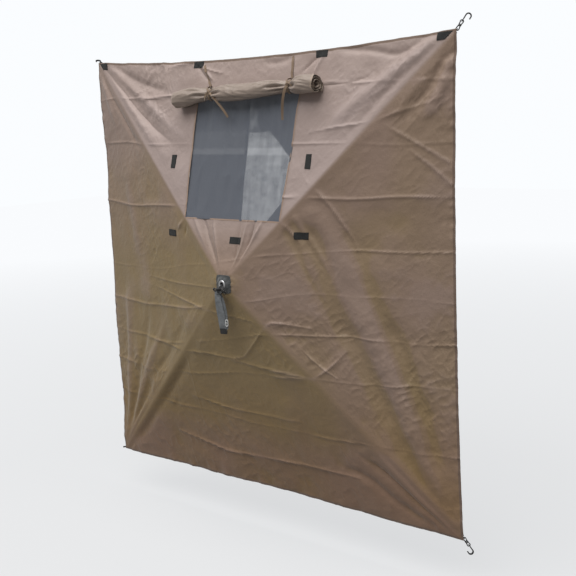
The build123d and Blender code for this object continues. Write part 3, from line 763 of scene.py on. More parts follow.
# ------------------------------------------------------------------ materials
# the cloth's own taupe; an olive tint for painted shade on facets turned from the light; a paler
# tint for painted light on facets and folds turned toward it
TAUPE, PAINTED_SHADE_OLIVE, PAINTED_LIGHT_TINT = (0.300, 0.211, 0.162), (0.280, 0.200, 0.096), (0.385, 0.306, 0.285)


def fabric_material(name, base, olive, light, rough):
    """Blotchy woven cloth, coloured by the attributes of painted olive shade and of painted pale
    light, browner at the foot.
    """
    material, tree, shader = principled(name, base, rough, sheen=0.20, spec=0.45)
    shader.inputs["Sheen Roughness"].default_value = 0.45

    def tinted(color, by):
        return mix(tree, 1.0, color, by, "MULTIPLY")

    # painted shade: the olive colour, mixed in by its attribute
    color = mix(tree, attribute_node(tree, "olive"), base, olive)
    blotches = ramp(tree, noise_node(tree, 9.0, detail=5, rough=.6), .25, .8)
    color = mix(tree, blotches, color, tinted(color, (0.90, 0.90, 0.89)))
    fine = ramp(tree, noise_node(tree, 260.0, detail=2, rough=.6), .35, .65)
    color = mix(tree, fine, color, tinted(color, (0.93, 0.93, 0.93)))
    # painted light: the pale colour, mixed in by its attribute
    color = mix(tree, attribute_node(tree, "painted_light"), color, light)
    split = node(tree, "ShaderNodeSeparateXYZ")
    tree.links.new(object_coords(tree), split.inputs[0])
    foot = ramp(tree, split.outputs["Z"], -0.30, -0.74)
    color = mix(tree, foot, color, tinted(color, (0.90, 0.80, 0.70)))
    tree.links.new(color, shader.inputs["Base Color"])
    bump(tree, shader, (weave(tree, 420.0), 0.10, 0.0004),
         (noise_node(tree, 34.0, detail=4, rough=.6), 0.30, 0.006),
         (noise_node(tree, 95.0, detail=3, rough=.6), 0.16, 0.003),
         (noise_node(tree, 300.0), 0.08, 0.001))
    return material


def plain_material(name, color, rough, threads=None, grain=None, **look):
    """One colour, with an optional woven bump and an optional grainy bump over it."""
    material, tree, shader = principled(name, color, rough, **look)
    layers = []
    if threads:
        layers.append((weave(tree, threads["scale"]), threads["strength"], threads["distance"]))
    if grain:
        height = noise_node(tree, grain["scale"], grain.get("detail", 2))
        layers.append((height, grain["strength"], grain["distance"]))
    if layers:
        bump(tree, shader, *layers)
    return material


def loop_tape_material():
    material, tree, shader = principled("loop_tape", (0.018, 0.020, 0.020), 0.95, sheen=0.08)
    fuzz = noise_node(tree, 900.0, detail=3, rough=.7)
    color = mix(tree, ramp(tree, fuzz, .35, .7), (0.012, 0.013, 0.013), (0.05, 0.052, 0.052))
    tree.links.new(color, shader.inputs["Base Color"])
    bump(tree, shader, (fuzz, 0.7, 0.0015))
    return material


def webbing_material(name, color):
    material, tree, shader = principled(name, color, 0.7, sheen=0.3)
    threads = weave(tree, 130.0)
    shade = mix(tree, threads, scaled(color, 0.6), color)
    patches = ramp(tree, noise_node(tree, 60.0, detail=3), .3, .8)
    shade = mix(tree, patches, shade, scaled(color, 1.25))
    tree.links.new(shade, shader.inputs["Base Color"])
    bump(tree, shader, (threads, 0.6, 0.0012), (noise_node(tree, 500.0), 0.2, 0.0005))
    return material


def moulded_plastic_material():
    material, tree, shader = principled("moulded_plastic", (0.018, 0.018, 0.019), 0.42, spec=0.45)
    bump(tree, shader, (noise_node(tree, 650.0, detail=3, rough=.6), 0.12, 0.0006))
    rough = ramp(tree, noise_node(tree, 30.0, detail=4), to_low=0.34, to_high=0.56)
    tree.links.new(rough, shader.inputs["Roughness"])
    return material


def fibreglass_material():
    material, tree, shader = principled("fibreglass", (0.020, 0.020, 0.022), 0.30, spec=0.5)
    # its texture runs on the default coordinates
    texture = node(tree, "ShaderNodeTexNoise", Scale=40.0, Detail=4.0)
    bump(tree, shader, (texture.outputs["Fac"], 0.06, 0.0006))
    return material


def grommet_material():
    material, tree, shader = principled("grommet_metal", (0.80, 0.81, 0.83), 0.16, metal=1.0)
    rough = ramp(tree, noise_node(tree, 160.0, detail=3), -1.2, 3.2)
    tree.links.new(rough, shader.inputs["Roughness"])
    return material


def screen_material():
    """Mesh that lets light through by its clear attribute, plus fine upright streaks."""
    material, tree, shader = principled("screen_mesh", (0.103, 0.117, 0.148), 0.55,
                                        sheen=0.2, spec=0.4)
    see_through = node(tree, "ShaderNodeBsdfTransparent")
    mixer = node(tree, "ShaderNodeMixShader")
    stretch = node(tree, "ShaderNodeMapping", Scale=(1.0, 1.0, 0.06))
    tree.links.new(object_coords(tree), stretch.inputs["Vector"])
    streak = noise_node(tree, 90.0, detail=4, rough=.6, vector=stretch.outputs["Vector"])
    streak = math_node(tree, "MULTIPLY", ramp(tree, streak, .3, .72), 0.05)
    share = math_node(tree, "ADD", streak, attribute_node(tree, "clear"))
    tree.links.new(share, mixer.inputs["Fac"])
    tree.links.new(shader.outputs["BSDF"], mixer.inputs[1])
    tree.links.new(see_through.outputs["BSDF"], mixer.inputs[2])
    tree.links.new(mixer.outputs["Shader"], tree.nodes["Material Output"].inputs["Surface"])
    bump(tree, shader, (weave(tree, 260.0), 0.5, 0.0008))
    return material


EDGE_THREADS = dict(scale=420.0, strength=0.2, distance=0.0004)
EDGE_GRAIN = dict(scale=200.0, strength=0.2, distance=0.001)

fabric = fabric_material("shell_fabric", TAUPE, PAINTED_SHADE_OLIVE, PAINTED_LIGHT_TINT, rough=0.54)
fabric_hem = plain_material("shell_hem", scaled(TAUPE, 0.62), 0.75, sheen=0.2,
                            grain=dict(scale=240.0, strength=0.3, distance=0.001))
fabric_edge = plain_material("window_binding", scaled(TAUPE, 1.15), 0.7, EDGE_THREADS,
                             EDGE_GRAIN, sheen=0.2)
# the flap's second and third colours are its olive painted shade and pale painted light
flap_cloth = fabric_material("flap_fabric", (0.315, 0.252, 0.212), (0.20, 0.15, 0.09),
                             (0.46, 0.39, 0.33), rough=0.42)
flap_hem = plain_material("flap_hem", (0.34, 0.27, 0.215), 0.6, EDGE_THREADS, EDGE_GRAIN,
                          sheen=0.2)
black_tape = loop_tape_material()
tie_cloth = plain_material("tie_tape", (0.22, 0.155, 0.105), 0.75,
                           dict(scale=500.0, strength=0.3, distance=0.0004), EDGE_GRAIN,
                           sheen=0.2)
strap_web = webbing_material("strap_webbing", (0.197, 0.212, 0.225))
patch_web = webbing_material("patch_webbing", (0.085, 0.090, 0.092))
black_web = webbing_material("black_webbing", (0.020, 0.020, 0.021))
plastic = moulded_plastic_material()
pale_plastic = plain_material("pale_plastic", (0.55, 0.56, 0.56), 0.38, spec=0.5,
                              grain=dict(scale=500.0, detail=3, strength=0.1, distance=0.0005))
pole_finish = fibreglass_material()
steel = plain_material("steel", (0.58, 0.58, 0.60), 0.32, metal=1.0,
                       grain=dict(scale=400.0, strength=0.05, distance=0.0005))
grommet_metal = grommet_material()
cord_cover = plain_material("elastic_cord", (0.022, 0.022, 0.023), 0.7, sheen=0.3,
                            grain=dict(scale=700.0, strength=0.5, distance=0.0006))
thread = plain_material("thread", (0.40, 0.32, 0.25), 0.6)
dark_thread = plain_material("dark_thread", (0.035, 0.035, 0.035), 0.6)
screen = screen_material()


# ------------------------------------------------------------------ wall panels
def hemmed(out):
    """Material of each quad: 1 in the outermost row, the hem."""
    index = np.zeros((out.shape[0] - 1, out.shape[1] - 1), int)
    index[-1] = 1
    return index


def crown_edge(facet, ray):
    return CROWN_EDGE / np.hypot(1, ray * facet.half / facet.reach)


def outer_edge(side, ray):
    """Where a ray meets the sagging edge; ray is 0 at the facet's middle, 1 at its ridge."""
    reach, sag = FACETS[side].reach, SAG[side]
    out = reach - sag * (1 - ray * ray)
    for _ in range(4):
        out = reach - sag * (1 - (ray * out / reach) ** 2)
    return out


def ray_patch(side, sign):
    """From the crown's edge outwards, along rays across half a facet."""
    facet = FACETS[side]
    ray = np.linspace(0, 1, 150)
    start, edge = crown_edge(facet, ray), outer_edge(side, ray)
    rows = np.concatenate([np.linspace(0, 1, 150) ** 0.94, [1.0]])[:, None]
    out = start + (edge - HEM - start) * rows
    out[-1] = edge
    across = sign * ray * facet.half * out / facet.reach
    return with_normals(side, out, across) + (hemmed(out),)


def window_half(out, sign):
    share = np.clip((out - WINDOW_FOOT) / (WINDOW_HEAD - WINDOW_FOOT), 0, 1)
    return FOOT_HALF + (HEAD_HALF[sign] - FOOT_HALF) * share


def rows_above_window(edge):
    return [WINDOW_HEAD + (edge - HEM - WINDOW_HEAD) * j / 22 for j in range(23)] + [edge]


def below_window(sign):
    facet = FACETS["top"]
    corner = FOOT_HALF / (facet.half * WINDOW_FOOT / facet.reach)
    ray = np.concatenate([np.linspace(0, corner, 42), [0.5 * (corner + 1), 1.0]])
    start = crown_edge(facet, ray)
    out = start + (WINDOW_FOOT - start) * np.linspace(0, 1, 40)[:, None]
    return with_normals("top", out, sign * ray * facet.half * out / facet.reach) + (0,)


def beside_window(sign):
    """From the side of the window to the ridge, as far as the outer edge."""
    facet = FACETS["top"]
    share = np.linspace(0, 1, 96)
    head_half = HEAD_HALF[sign]
    edge = np.full(share.shape, facet.reach)
    for _ in range(12):
        edge = top_edge(head_half + share * (facet.half * edge / facet.reach - head_half))
    rows = [WINDOW_FOOT + (WINDOW_HEAD - WINDOW_FOOT) * j / 84 + 0 * share for j in range(84)]
    out = np.array(rows + rows_above_window(edge))
    half = window_half(out, sign)
    across = half + share * (facet.half * out / facet.reach - half)
    return with_normals("top", out, sign * across) + (hemmed(out),)


def above_window(sign):
    across = np.linspace(0, HEAD_HALF[sign], 38)
    out = np.array(rows_above_window(top_edge(across)))
    return with_normals("top", out, sign * across * np.ones_like(out)) + (hemmed(out),)


for panel, (side, sign) in PANELS.items():
    if side == "top":
        patches = [below_window(sign), beside_window(sign), above_window(sign)]
    else:
        patches = [ray_patch(side, sign)]
    sheet("wall_" + panel, patches, [fabric, fabric_hem], 1.6,
          "panel_" + panel, "fabric_" + panel, tones=True)


# ------------------------------------------------------------------ loop tape patches
PATCH_LIFT, PATCH_THICK, PATCH_WAVE = 1.6, 1.5, 0.35
TAPE_LONG, TAPE_WIDE, SIDE_TAPE_LONG = 52, 25, 56


def wall_patch(name, side, corners, body, replaces=None, upright=False):
    """A stitched tape patch lying on the folds. corners: four (across, out)."""
    cells_u, cells_v = (12, 22) if upright else (22, 12)
    corners = np.array(corners, float)

    def inside(u, v):
        u, v = u[..., None], v[..., None]
        place = ((1 - u) * (1 - v) * corners[0] + u * (1 - v) * corners[1]
                 + u * v * corners[2] + (1 - u) * v * corners[3])
        return place[..., 0], place[..., 1]

    u, v = mesh_grid(np.linspace(0, 1, cells_u), np.linspace(0, 1, cells_v))
    across, out = inside(u, v)
    points, normals = with_normals(side, out, across)
    normals = unit(normals * 0.5 + FACETS[side].normal * 0.5)     # stiffer than the cloth
    edge = np.minimum(np.minimum(u, 1 - u) * cells_u, np.minimum(v, 1 - v) * cells_v)
    wave = PATCH_WAVE * (noise(across / 9.0, out / 9.0, 51) + 1)
    points = points + normals * (PATCH_LIFT + wave - 0.5 * np.exp(-edge))[..., None]
    sheet(name, [(points, normals, 0)], [black_tape], PATCH_THICK, body, replaces)

    inset_u = 0.09
    inset_v = inset_u * cells_u / cells_v * 0.8
    loop = np.array([(inset_u, inset_v), (1 - inset_u, inset_v), (1 - inset_u, 1 - inset_v),
                     (inset_u, 1 - inset_v), (inset_u, inset_v)])
    share = np.linspace(0, 1, 10)[:, None]
    line = np.concatenate([a * (1 - share) + b * share for a, b in zip(loop[:-1], loop[1:])])
    lift = PATCH_LIFT + PATCH_THICK / 2 + PATCH_WAVE + 0.1
    line, normals = on_wall(side, *inside(line[:, 0], line[:, 1]), lift)
    stitches(name + "_stitch", line, normals, dark_thread, body,
             radius=0.4, dash=3.2, gap=1.4)


def rectangle(across, out, width, height):
    return [(across + i * width / 2, out + j * height / 2)
            for i, j in ((-1, -1), (1, -1), (1, 1), (-1, 1))]


def corner_patch(sign):
    """A patch tucked between the top edge and the ridge."""
    diagonal = math.hypot(SLOPE_TOP, HALF_WIDTH)
    inner, depth, ridge_gap, edge_gap = 812.0, 26.0, 4.0, 3.0

    def near_ridge(out):
        return (out * HALF_WIDTH / diagonal - ridge_gap) / (SLOPE_TOP / diagonal)

    inner_top, outer_top = top_edge(inner) - edge_gap, top_edge(840.0) - edge_gap
    outer_foot = outer_top - depth
    return [(sign * inner, inner_top - depth), (sign * near_ridge(outer_foot), outer_foot),
            (sign * near_ridge(outer_top), outer_top), (sign * inner, inner_top)]


for (sign, half), across in zip(HALVES, (-264, 344)):
    body = "panel_top_" + half
    wall_patch("tape_corner_" + half, "top", corner_patch(sign), body, "loop_patches_" + half)
    wall_patch("tape_top_" + half, "top",
               rectangle(across, top_edge(across) - 15.0, TAPE_LONG, TAPE_WIDE), body)
    wall_patch("tape_beside_" + half, "top", rectangle(sign * 338, 455, TAPE_WIDE, TAPE_LONG),
               body, upright=True)
wall_patch("tape_under_window", "top", rectangle(36, 164, TAPE_LONG, TAPE_WIDE),
           "panel_top_right")
for half, across, out in (("left", 167, 348), ("right", 184, 329)):
    wall_patch("tape_side_" + half, half, rectangle(across, out, TAPE_WIDE, SIDE_TAPE_LONG),
               "panel_%s_upper" % half, "loop_patch_side_" + half, upright=True)

# ------------------------------------------------------------------ window
# outlines on the mesh, (across, up the facet): the clearest part and a hazy part over it
CLEAR_PART = [(39, 563), (98, 562), (140, 567), (190, 527), (229, 490), (256, 468), (246, 316),
              (176, 236), (176, 225), (49, 225), (46, 300), (40, 371), (37, 507)]
HAZY_PART = [(24, 658), (60, 648), (76, 600), (98, 562), (39, 563), (30, 610)]
# a dark line down the mesh: up the facet, across
DARK_LINE = ([232, 371, 507, 672, 720], [49, 40, 37, 22, 18])


def inside_outline(x, y, outline):
    outline = np.array(outline, float)
    inside = np.zeros(x.shape, bool)
    for (x0, y0), (x1, y1) in zip(outline, np.roll(outline, -1, 0)):
        inside ^= ((y0 > y) != (y1 > y)) & (x < (x1 - x0) * (y - y0) / (y1 - y0 + 1e-9) + x0)
    return inside


def soft_outline(x, y, outline, radius):
    """Share of a small disc that lies inside an outline."""
    total = np.zeros(x.shape)
    for k in range(8):
        angle = k * math.pi / 4
        for ring in (0.5, 1.0):
            total += inside_outline(x + radius * ring * math.cos(angle),
                                    y + radius * ring * math.sin(angle), outline)
    return total / 16.0


def clearness(x, up):
    """Share of light that the mesh lets straight through."""
    part = soft_outline(x, up, CLEAR_PART, 3.5)
    streaks = 0.86 + 0.16 * noise(x / 17.0, up / 90.0, 63) + 0.10 * noise(x / 30.0, up / 14.0, 64)
    clear = 0.10 + 0.34 * part * streaks * (1 - 0.35 * smooth(up, 520, 565))
    clear += 0.10 * part * smooth(up, 474, 484) * (1 - smooth(up, 500, 511))
    haze = 0.6 + 0.5 * noise(x / 24.0, up / 27.0, 65)
    clear += 0.22 * soft_outline(x, up, HAZY_PART, 9.0) * haze
    # two faint bands across everything left of x = 30
    left = 1 - smooth(x, 26, 34)
    clear += 0.14 * left * smooth(up, 478, 486) * (1 - smooth(up, 500, 512))
    clear += 0.06 * left * smooth(up, 505, 512) * (1 - smooth(up, 560, 580))
    clear *= 1 - 0.9 * bell(x - np.interp(up, *DARK_LINE), 4.0)
    return np.clip(clear, 0, 0.8)


def window_screen(sign, half):
    share, rise = mesh_grid(np.linspace(0, 1, 92), np.linspace(0, 1, 150))
    # the mesh reaches a little under the wall on every side
    up = (WINDOW_FOOT - 3.5) + (WINDOW_HEAD + 7 - WINDOW_FOOT + 3.5) * rise
    reach = (FOOT_HALF + 3.0) + (HEAD_HALF[sign] + 7 - FOOT_HALF - 3.0) * rise
    reach = np.minimum(reach, HALF_WIDTH * up / SLOPE_TOP - 0.5)
    x = sign * reach * share
    border = np.minimum(reach - np.abs(x), np.minimum(up - WINDOW_FOOT, WINDOW_HEAD - up))
    loose = smooth(border, 4, 60) * (0.4 + 0.6 * smooth(np.abs(x), 0, 40))
    waves = 3.0 * noise(x / 110.0 + 3, up / 160.0, 61) + 1.2 * noise(x / 30.0, up / 190.0, 62)
    points = top_point(x, up, -np.abs(waves) * loose * 1.6 - 1.35)
    ob = sheet("screen_" + half, [(points, grid_normals(points, OFF_TOP), 0)], [screen], 0.8,
               "panel_top_" + half, "window_mesh_" + half)
    placed = np.array([v.co for v in ob.data.vertices]) / MM
    add_attribute(ob.data, "clear", clearness(placed[:, 0], placed @ UP_TOP))


def window_binding(name, across, out, body):
    line, normals = on_wall("top", across, out, 1.0)
    strip(name, line, normals, np.cross(heading(line), normals), 5.0, fabric_edge, body)


for sign, half in HALVES:
    window_screen(sign, half)
for sign, half in HALVES:
    body = "panel_top_" + half
    up = np.linspace(WINDOW_FOOT + 2, WINDOW_HEAD, 90)
    beside = window_half(up, sign)
    window_binding("window_edge_side_" + half, sign * (beside + 2.2), up, body)
    window_binding("window_edge_foot_" + half, sign * np.linspace(1.0, FOOT_HALF + 1.0, 60),
                   np.full(60, WINDOW_FOOT - 2.0), body)
    for row, gap in enumerate((6.0, 10.5)):
        line, normals = on_wall("top", sign * (beside[4:] + gap), up[4:], 1.0)
        stitches("window_stitch_%s_%d" % (half, row), line, normals, thread,
                 body, radius=0.42, dash=3.6, gap=1.8)

# ------------------------------------------------------------------ rolled flap
ROLL_UP, ROLL_OFF = 702.0, 40.0      # the roll's axis, up the top facet and off it
ROLL_ENDS = {"left": -338.0, "right": 372.0}
ROLL_CORE, ROLL_OUTER = 8.0, 36.0    # radius of the first and last wrap

# x: station on the roll; pinch: depth and reach to the left and right; crease: reach
# of the gathers; sewn: shift in x and distance from the edge of the sewn end;
# low_shift: shift of its lower end; bridge: shifts on the way to the knot;
# tails: width, then offsets from the knot (across, up, off)
TIES = {
    "left": dict(x=-142.0, pinch=(.52, 70.0, 42.0), crease=44.0, sewn=(-90, 20),
                 low_shift=-40, bridge=(-30, -15), tails=[
                     (8.5, [(0, 0, 0), (20, -12, 3), (48, -38, -2), (74, -66, -14),
                            (92, -92, -26)]),
                     (7.5, [(0, 0, 0), (-8, -10, 3), (-15, -24, 1), (-16, -36, -5)])]),
    "right": dict(x=247.0, pinch=(.50, 88.0, 24.0), crease=40.0, sewn=(-36, 12),
                  low_shift=-22, bridge=(-18, -9), tails=[
                      (9.5, [(0, 0, 0), (-6, -22, 3), (-14, -56, -2), (-22, -92, -16),
                             (-27, -122, -28)]),
                      (7.5, [(0, 0, 0), (10, 2, 4), (20, -6, 2), (25, -20, -4)])]),
}

# hollows in the roll, most of them beside a tie: station, turn, half length, half turn, depth
HOLLOWS = [
    (-186, -0.30, 40, 0.40, 14), (-104, -0.02, 36, 0.34, 13), (-222, 0.62, 50, 0.26, 7),
    (-112, -0.85, 30, 0.30, 8), (-300, -1.1, 40, .5, 6), (190, -0.05, 46, 0.36, 14),
    (160, 0.72, 60, 0.24, 6), (205, -0.80, 36, 0.30, 8), (272, -0.12, 22, 0.42, 14),
    (268, 0.80, 22, 0.30, 9), (-20, -0.9, 80, .35, 4), (70, 1.15, 70, .3, 4),
]


def roll_axis(x):
    """Where the roll's middle lies: up the facet, and off it."""
    up = (ROLL_UP + 7.0 * np.sin((x + 30) / 250.0 * math.pi / 2) + 4.0
          - 6.0 * bell(x, 120.0, 20) - 15.0 * smooth(-x, 215, 345) + 6.0 * smooth(x, 255, 330))
    off = ROLL_OFF - 1.0 + 0 * x
    for tie in TIES.values():
        off = off - 7.0 * bell(x, 22.0, tie["x"])
    return up, off


def roll_axis_point(x):
    return top_point(x, *roll_axis(x))


def roll_radius(x):
    """Radius relative to an even roll: pinched by the ties, thinner toward both ends."""
    radius = 1.0 + 0 * x
    for tie in TIES.values():
        depth, left, right = tie["pinch"]
        away = np.where(x < tie["x"], (tie["x"] - x) / left, (x - tie["x"]) / right)
        radius = radius * (1 - depth * np.exp(-away ** 1.35))
    radius = radius * (1 - 0.10 * bell(x, 70.0, 30)) * (1 + 0.05 * bell(x, 45.0, -265))
    return radius * (1 - 0.22 * smooth(-x, 312, 340)) * (1 - 0.06 * smooth(x, 345, 372))


def roll_surface(x, turn, layer):
    """Point at station x on the wrap of radius layer.
    Turn 0 faces away from the wall, positive turns upward."""
    radius = layer * roll_radius(x)
    gather = sum(np.exp(-(np.abs(x - tie["x"]) / tie["crease"]) ** 1.2) for tie in TIES.values())
    shifted = turn + 0.35 * np.sin(x / 60.0)
    ripple = 0.050 * noise(np.cos(turn) * 2.2 + x / 120.0 + 20,
                           np.sin(turn) * 2.2 + x / 85.0 + 20, 71)
    ripple += 0.040 * (1 - 2 * np.abs(noise(np.cos(shifted) * 3.2 + x / 55.0 + 40,
                                            np.sin(shifted) * 3.2 + x / 140.0 + 12, 72)))
    ripple += gather * (0.26 * np.abs(np.sin(4.5 * turn + 0.6 * np.sin(x / 21.0))) - 0.14)
    ripple += 0.018 * noise(np.cos(turn) * 6 + x / 24.0, np.sin(turn) * 6 + x / 40.0 + 9, 73)
    radius = radius * (1 + ripple)
    for station, angle, half_length, half_turn, depth in HOLLOWS:
        away = np.angle(np.exp(1j * (turn - angle)))
        spread = ((x - station) / half_length) ** 2 + (away / half_turn) ** 2
        lip = 0.14 * bell(np.sqrt(spread), 0.30, 1.12)
        radius = radius + depth * (layer / 35.5) * (lip - np.exp(-spread * 1.6))
    radius = np.clip(radius, 3.0, 38.5)
    axis_up, axis_off = roll_axis(x)
    up = axis_up + np.sin(turn) * radius * (1.0 + 0.03 * np.cos(x / 40.0))
    off = axis_off + np.cos(turn) * radius * 0.97
    return top_point(x, up, np.maximum(off, 3.2))      # never into the wall


def fold_flat(ob):
    """Gives the piece a mesh of its own."""
    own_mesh(ob)


def roll_half(half, left, right, left_mouth, right_mouth, columns):
    """Half the flap, wound in a spiral whose wraps end at slightly different stations.
    left_mouth and right_mouth are 1 at an open end and 0 where the halves meet."""
    wraps, per_wrap = 3.3, 76
    rows = int(wraps * per_wrap)
    share = np.linspace(0, 1, rows)
    turn = -2.5 + share * wraps * 2 * np.pi - wraps * 2 * np.pi
    layer = ROLL_CORE + (ROLL_OUTER - ROLL_CORE) * share ** 0.9
    start = left + (12.0 * (0.5 + 0.5 * np.sin(turn + 2.2)) + 10.0 * (1 - share)) * left_mouth
    end = right - (5.0 * (0.5 + 0.5 * np.sin(turn + 0.8))
                   + 3.0 * noise(turn, 0.0, 74)) * right_mouth
    x = start[:, None] + (end - start)[:, None] * np.linspace(0, 1, columns)[None, :]
    turn, layer = (np.repeat(v[:, None], columns, 1) for v in (turn, layer))
    points = roll_surface(x, turn, layer)
    # the mouth opens out of round toward its end
    mouth = smooth(x, 340, 372) * right_mouth + smooth(-x, 300, 338) * left_mouth
    oval = mouth * 2.0 * np.sin(2 * turn + 0.6) * (layer / ROLL_OUTER)
    points = points + oval[..., None] * UP_TOP
    normals = grid_normals(points, points - roll_axis_point(x))
    loose_edge = smooth(share, .975, 1.0)[:, None, None] * 1.6
    # the loose edge and the mouths are hemmed
    index = np.zeros((rows - 1, columns - 1), int)
    index[-3:, :] = 1
    index[:, -3:] = right_mouth
    if left_mouth:
        index[:, :2] = 1
    ob = sheet("flap_roll_cloth_" + half, [(points + normals * loose_edge, normals, index)],
               [flap_cloth, flap_hem], 1.9, "flap_" + half, "flap_roll_" + half)
    fold_flat(ob)


def flap_top(sign, half, end):
    """The flat top of the flap, from its seam on the wall to the roll."""
    share, drop = mesh_grid(np.linspace(0, 1, 90), np.linspace(0, 1, 9))
    across = sign * (0.6 + (end - 0.6) * share)
    up = 738.0 - 22.0 * drop
    points, normals = with_normals("top", up, across)
    lift = (1.9 + 0.8 * drop + 10.5 * smooth(drop, 0.05, 0.45) * smooth(np.abs(across), 0, 90)
            + 0.35 * (noise(across / 16.0, up / 20.0, 81) + 1))
    ob = sheet("flap_top_" + half, [(points + OFF_TOP * lift[..., None], normals, 0)],
               [flap_cloth], 1.2, tones=True)
    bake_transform(ob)
    line, normals = on_wall("top", sign * np.linspace(4, end - 4, 90), np.full(90, 736.0), 3.3)
    stitches("flap_top_stitch_" + half, line, normals, thread,
             "panel_top_" + half, radius=0.45, dash=3.6, gap=2.0)


roll_half("left", ROLL_ENDS["left"], -0.6, 1, 0, 130)
roll_half("right", 0.6, ROLL_ENDS["right"], 0, 1, 140)
flap_top(-1, "left", 318)
flap_top(1, "right", 345)


# ------------------------------------------------------------------ ties round the roll
def loose_tape(name, points, width, body, twist, phase):
    """A twisting tape through points (across, up, off) over the top facet."""
    count = 44
    line = top_point(*spline(points, count).T)
    direction = heading(line)
    angle = (twist * np.sin(np.linspace(0, 2.4, count) * 1.3 + phase))[:, None]
    flat = unit(np.cross(direction, OFF_TOP))
    width_dir, normals = twisted(direction, flat, OFF_TOP, angle, OFF_TOP)
    ob = strip(name, line, normals, width_dir, width, tie_cloth, body)
    fold_flat(ob)


def tie_band(half, station):
    """The tape round the roll; gives back the roll's median radius under it."""
    turn, width = mesh_grid(np.linspace(0, 2 * np.pi, 72), np.linspace(-1, 1, 6))
    x = station + width * 4.5 + 3.0 * np.sin(turn + .8)
    axis = roll_axis_point(x)
    spoke = roll_surface(x, turn, np.full_like(x, 37.5)) - axis
    radius = np.linalg.norm(spoke, axis=-1)
    normals = spoke / radius[..., None]
    # follows the hollows only in part, as a tight tape does
    taut = np.maximum(radius, np.median(radius) * 0.96)
    ob = sheet("roll_tie_band_" + half, [(axis + normals * (taut + 1.3)[..., None], normals, 0)],
               [tie_cloth], 1.1, "flap_" + half, "roll_tie_" + half)
    fold_flat(ob)
    return float(np.median(radius))


def tie_knot(half, knot):
    turn, tilt = mesh_grid(np.linspace(0, 2 * np.pi, 23), np.linspace(0.03, np.pi - 0.03, 14))
    radius = 6.6 * (1 + 0.14 * np.cos(3 * turn + 2 * tilt) + 0.10 * np.cos(5 * tilt))
    ball = top_point(radius * np.sin(tilt) * np.cos(turn) * 1.15,
                     radius * np.sin(tilt) * np.sin(turn), radius * np.cos(tilt) * 0.75)
    ob = add_grids("roll_tie_knot_" + half, [top_point(*knot) + ball], tie_cloth, wrap=False)
    tell(ob, "flap_" + half)
    fold_flat(ob)


def sewn_end(half, tie, axis_up):
    """The tape on the wall, from its top hem down to the roll; gives back its lower end."""
    shift, inset = tie["sewn"]
    x_top, foot = tie["x"] + shift, axis_up + 40.0
    head = top_edge(x_top) - inset
    up = np.linspace(head, foot, 40)
    x = np.interp(up, [foot, head], [tie["x"] + tie["low_shift"], x_top])
    x = x + 2.0 * np.sin(up / 14.0)
    line, normals = on_wall("top", x, up, 1.9)
    wave = (1.2 + 1.2 * np.sin(np.linspace(0, 9, 40))) * smooth(np.linspace(0, 1, 40), .05, .4)
    line = line + OFF_TOP * wave[:, None]
    strip("tie_end_" + half, line, normals, np.cross(heading(line), normals), 10.0, tie_cloth,
          "panel_top_" + half, "tie_tape_" + half)
    return x[-1], up[-1], 3.6


for half, tie in TIES.items():
    body, station = "flap_" + half, tie["x"]
    axis_up, axis_off = (float(v[0]) for v in roll_axis(np.array([station])))
    radius = tie_band(half, station)
    knot = np.array([station, axis_up + 7.0, axis_off + radius + 1.0])
    for i, (width, offsets) in enumerate(tie["tails"]):
        loose_tape("roll_tie_%s_%d" % (half, i), knot + np.array(offsets), width, body,
                   twist=0.8, phase=i * 1.3)
    tie_knot(half, knot)
    # the tape's last stretch bridges from the wall to the knot
    low_end = sewn_end(half, tie, axis_up)
    first, second = tie["bridge"]
    bridge = [low_end, (station + first, axis_up + 34, 18),
              (station + second, axis_up + 24, axis_off + radius * 0.75), knot + (0, 3, 1)]
    loose_tape("roll_tie_%s_top" % half, bridge, 8.0, body, twist=0.3, phase=0.6)


# ------------------------------------------------------------------ hub crown
RIDGE_ANGLE = math.atan2(HALF_HEIGHT, HALF_WIDTH)
PATCH_FRONT = -3.3                    # y of the patch's flat middle
PATCH_HALF_X, PATCH_HALF_Z = 36.0, 34.0
PATCH_HOLE, PATCH_FLAT = 9.8, 16.5    # radii of its hole and of its flat middle


def crown_depth(x, z):
    """Depth of the crown: the four facets, held off by the round hub behind them."""
    return facet_depth(x, z) - bulge(x, z)


def pole_direction(sign_x, sign_z):
    return np.array([sign_x * HALF_WIDTH / DIAGONAL, 0, sign_z * HALF_HEIGHT / DIAGONAL])


def crown_quarter(corner, sign_x, sign_z):
    angle = np.concatenate([np.linspace(0, RIDGE_ANGLE, 16),
                            np.linspace(RIDGE_ANGLE, math.pi / 2, 16)[1:]])
    angle, radius = mesh_grid(angle, np.linspace(10.2, 64.3, 22))
    x, z = sign_x * radius * np.cos(angle), sign_z * radius * np.sin(angle)
    y = crown_depth(x, z)
    # the wall's radius is measured up the slope, so the outer ring is drawn in to meet it
    draw = np.where(radius > 60, radius / np.sqrt(x * x + y * y + z * z), 1.0)
    x, y, z = x * draw, y * draw, z * draw
    pucker = 0.9 * np.sin(angle * 14 + 1) * bell(radius, 16.0, 34)
    y = y - pucker * (1 - smooth(radius, 48, 60)) * smooth(radius, 14, 24)
    points = np.stack([x, y, z], -1)
    ob = sheet("crown_" + corner, [(points, grid_normals(points, FORWARD), 0)], [fabric], 1.4,
               replaces="hub_crown" if corner == "tl" else None, tones=True)
    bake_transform(ob)


def patch_depth(x, z, radius):
    fall = crown_depth(x, z) + 0.4 - PATCH_FRONT
    fall = fall * smooth(radius, PATCH_FLAT, 34) * 0.92
    return PATCH_FRONT + fall - 1.4 * smooth(radius, 20, 34)


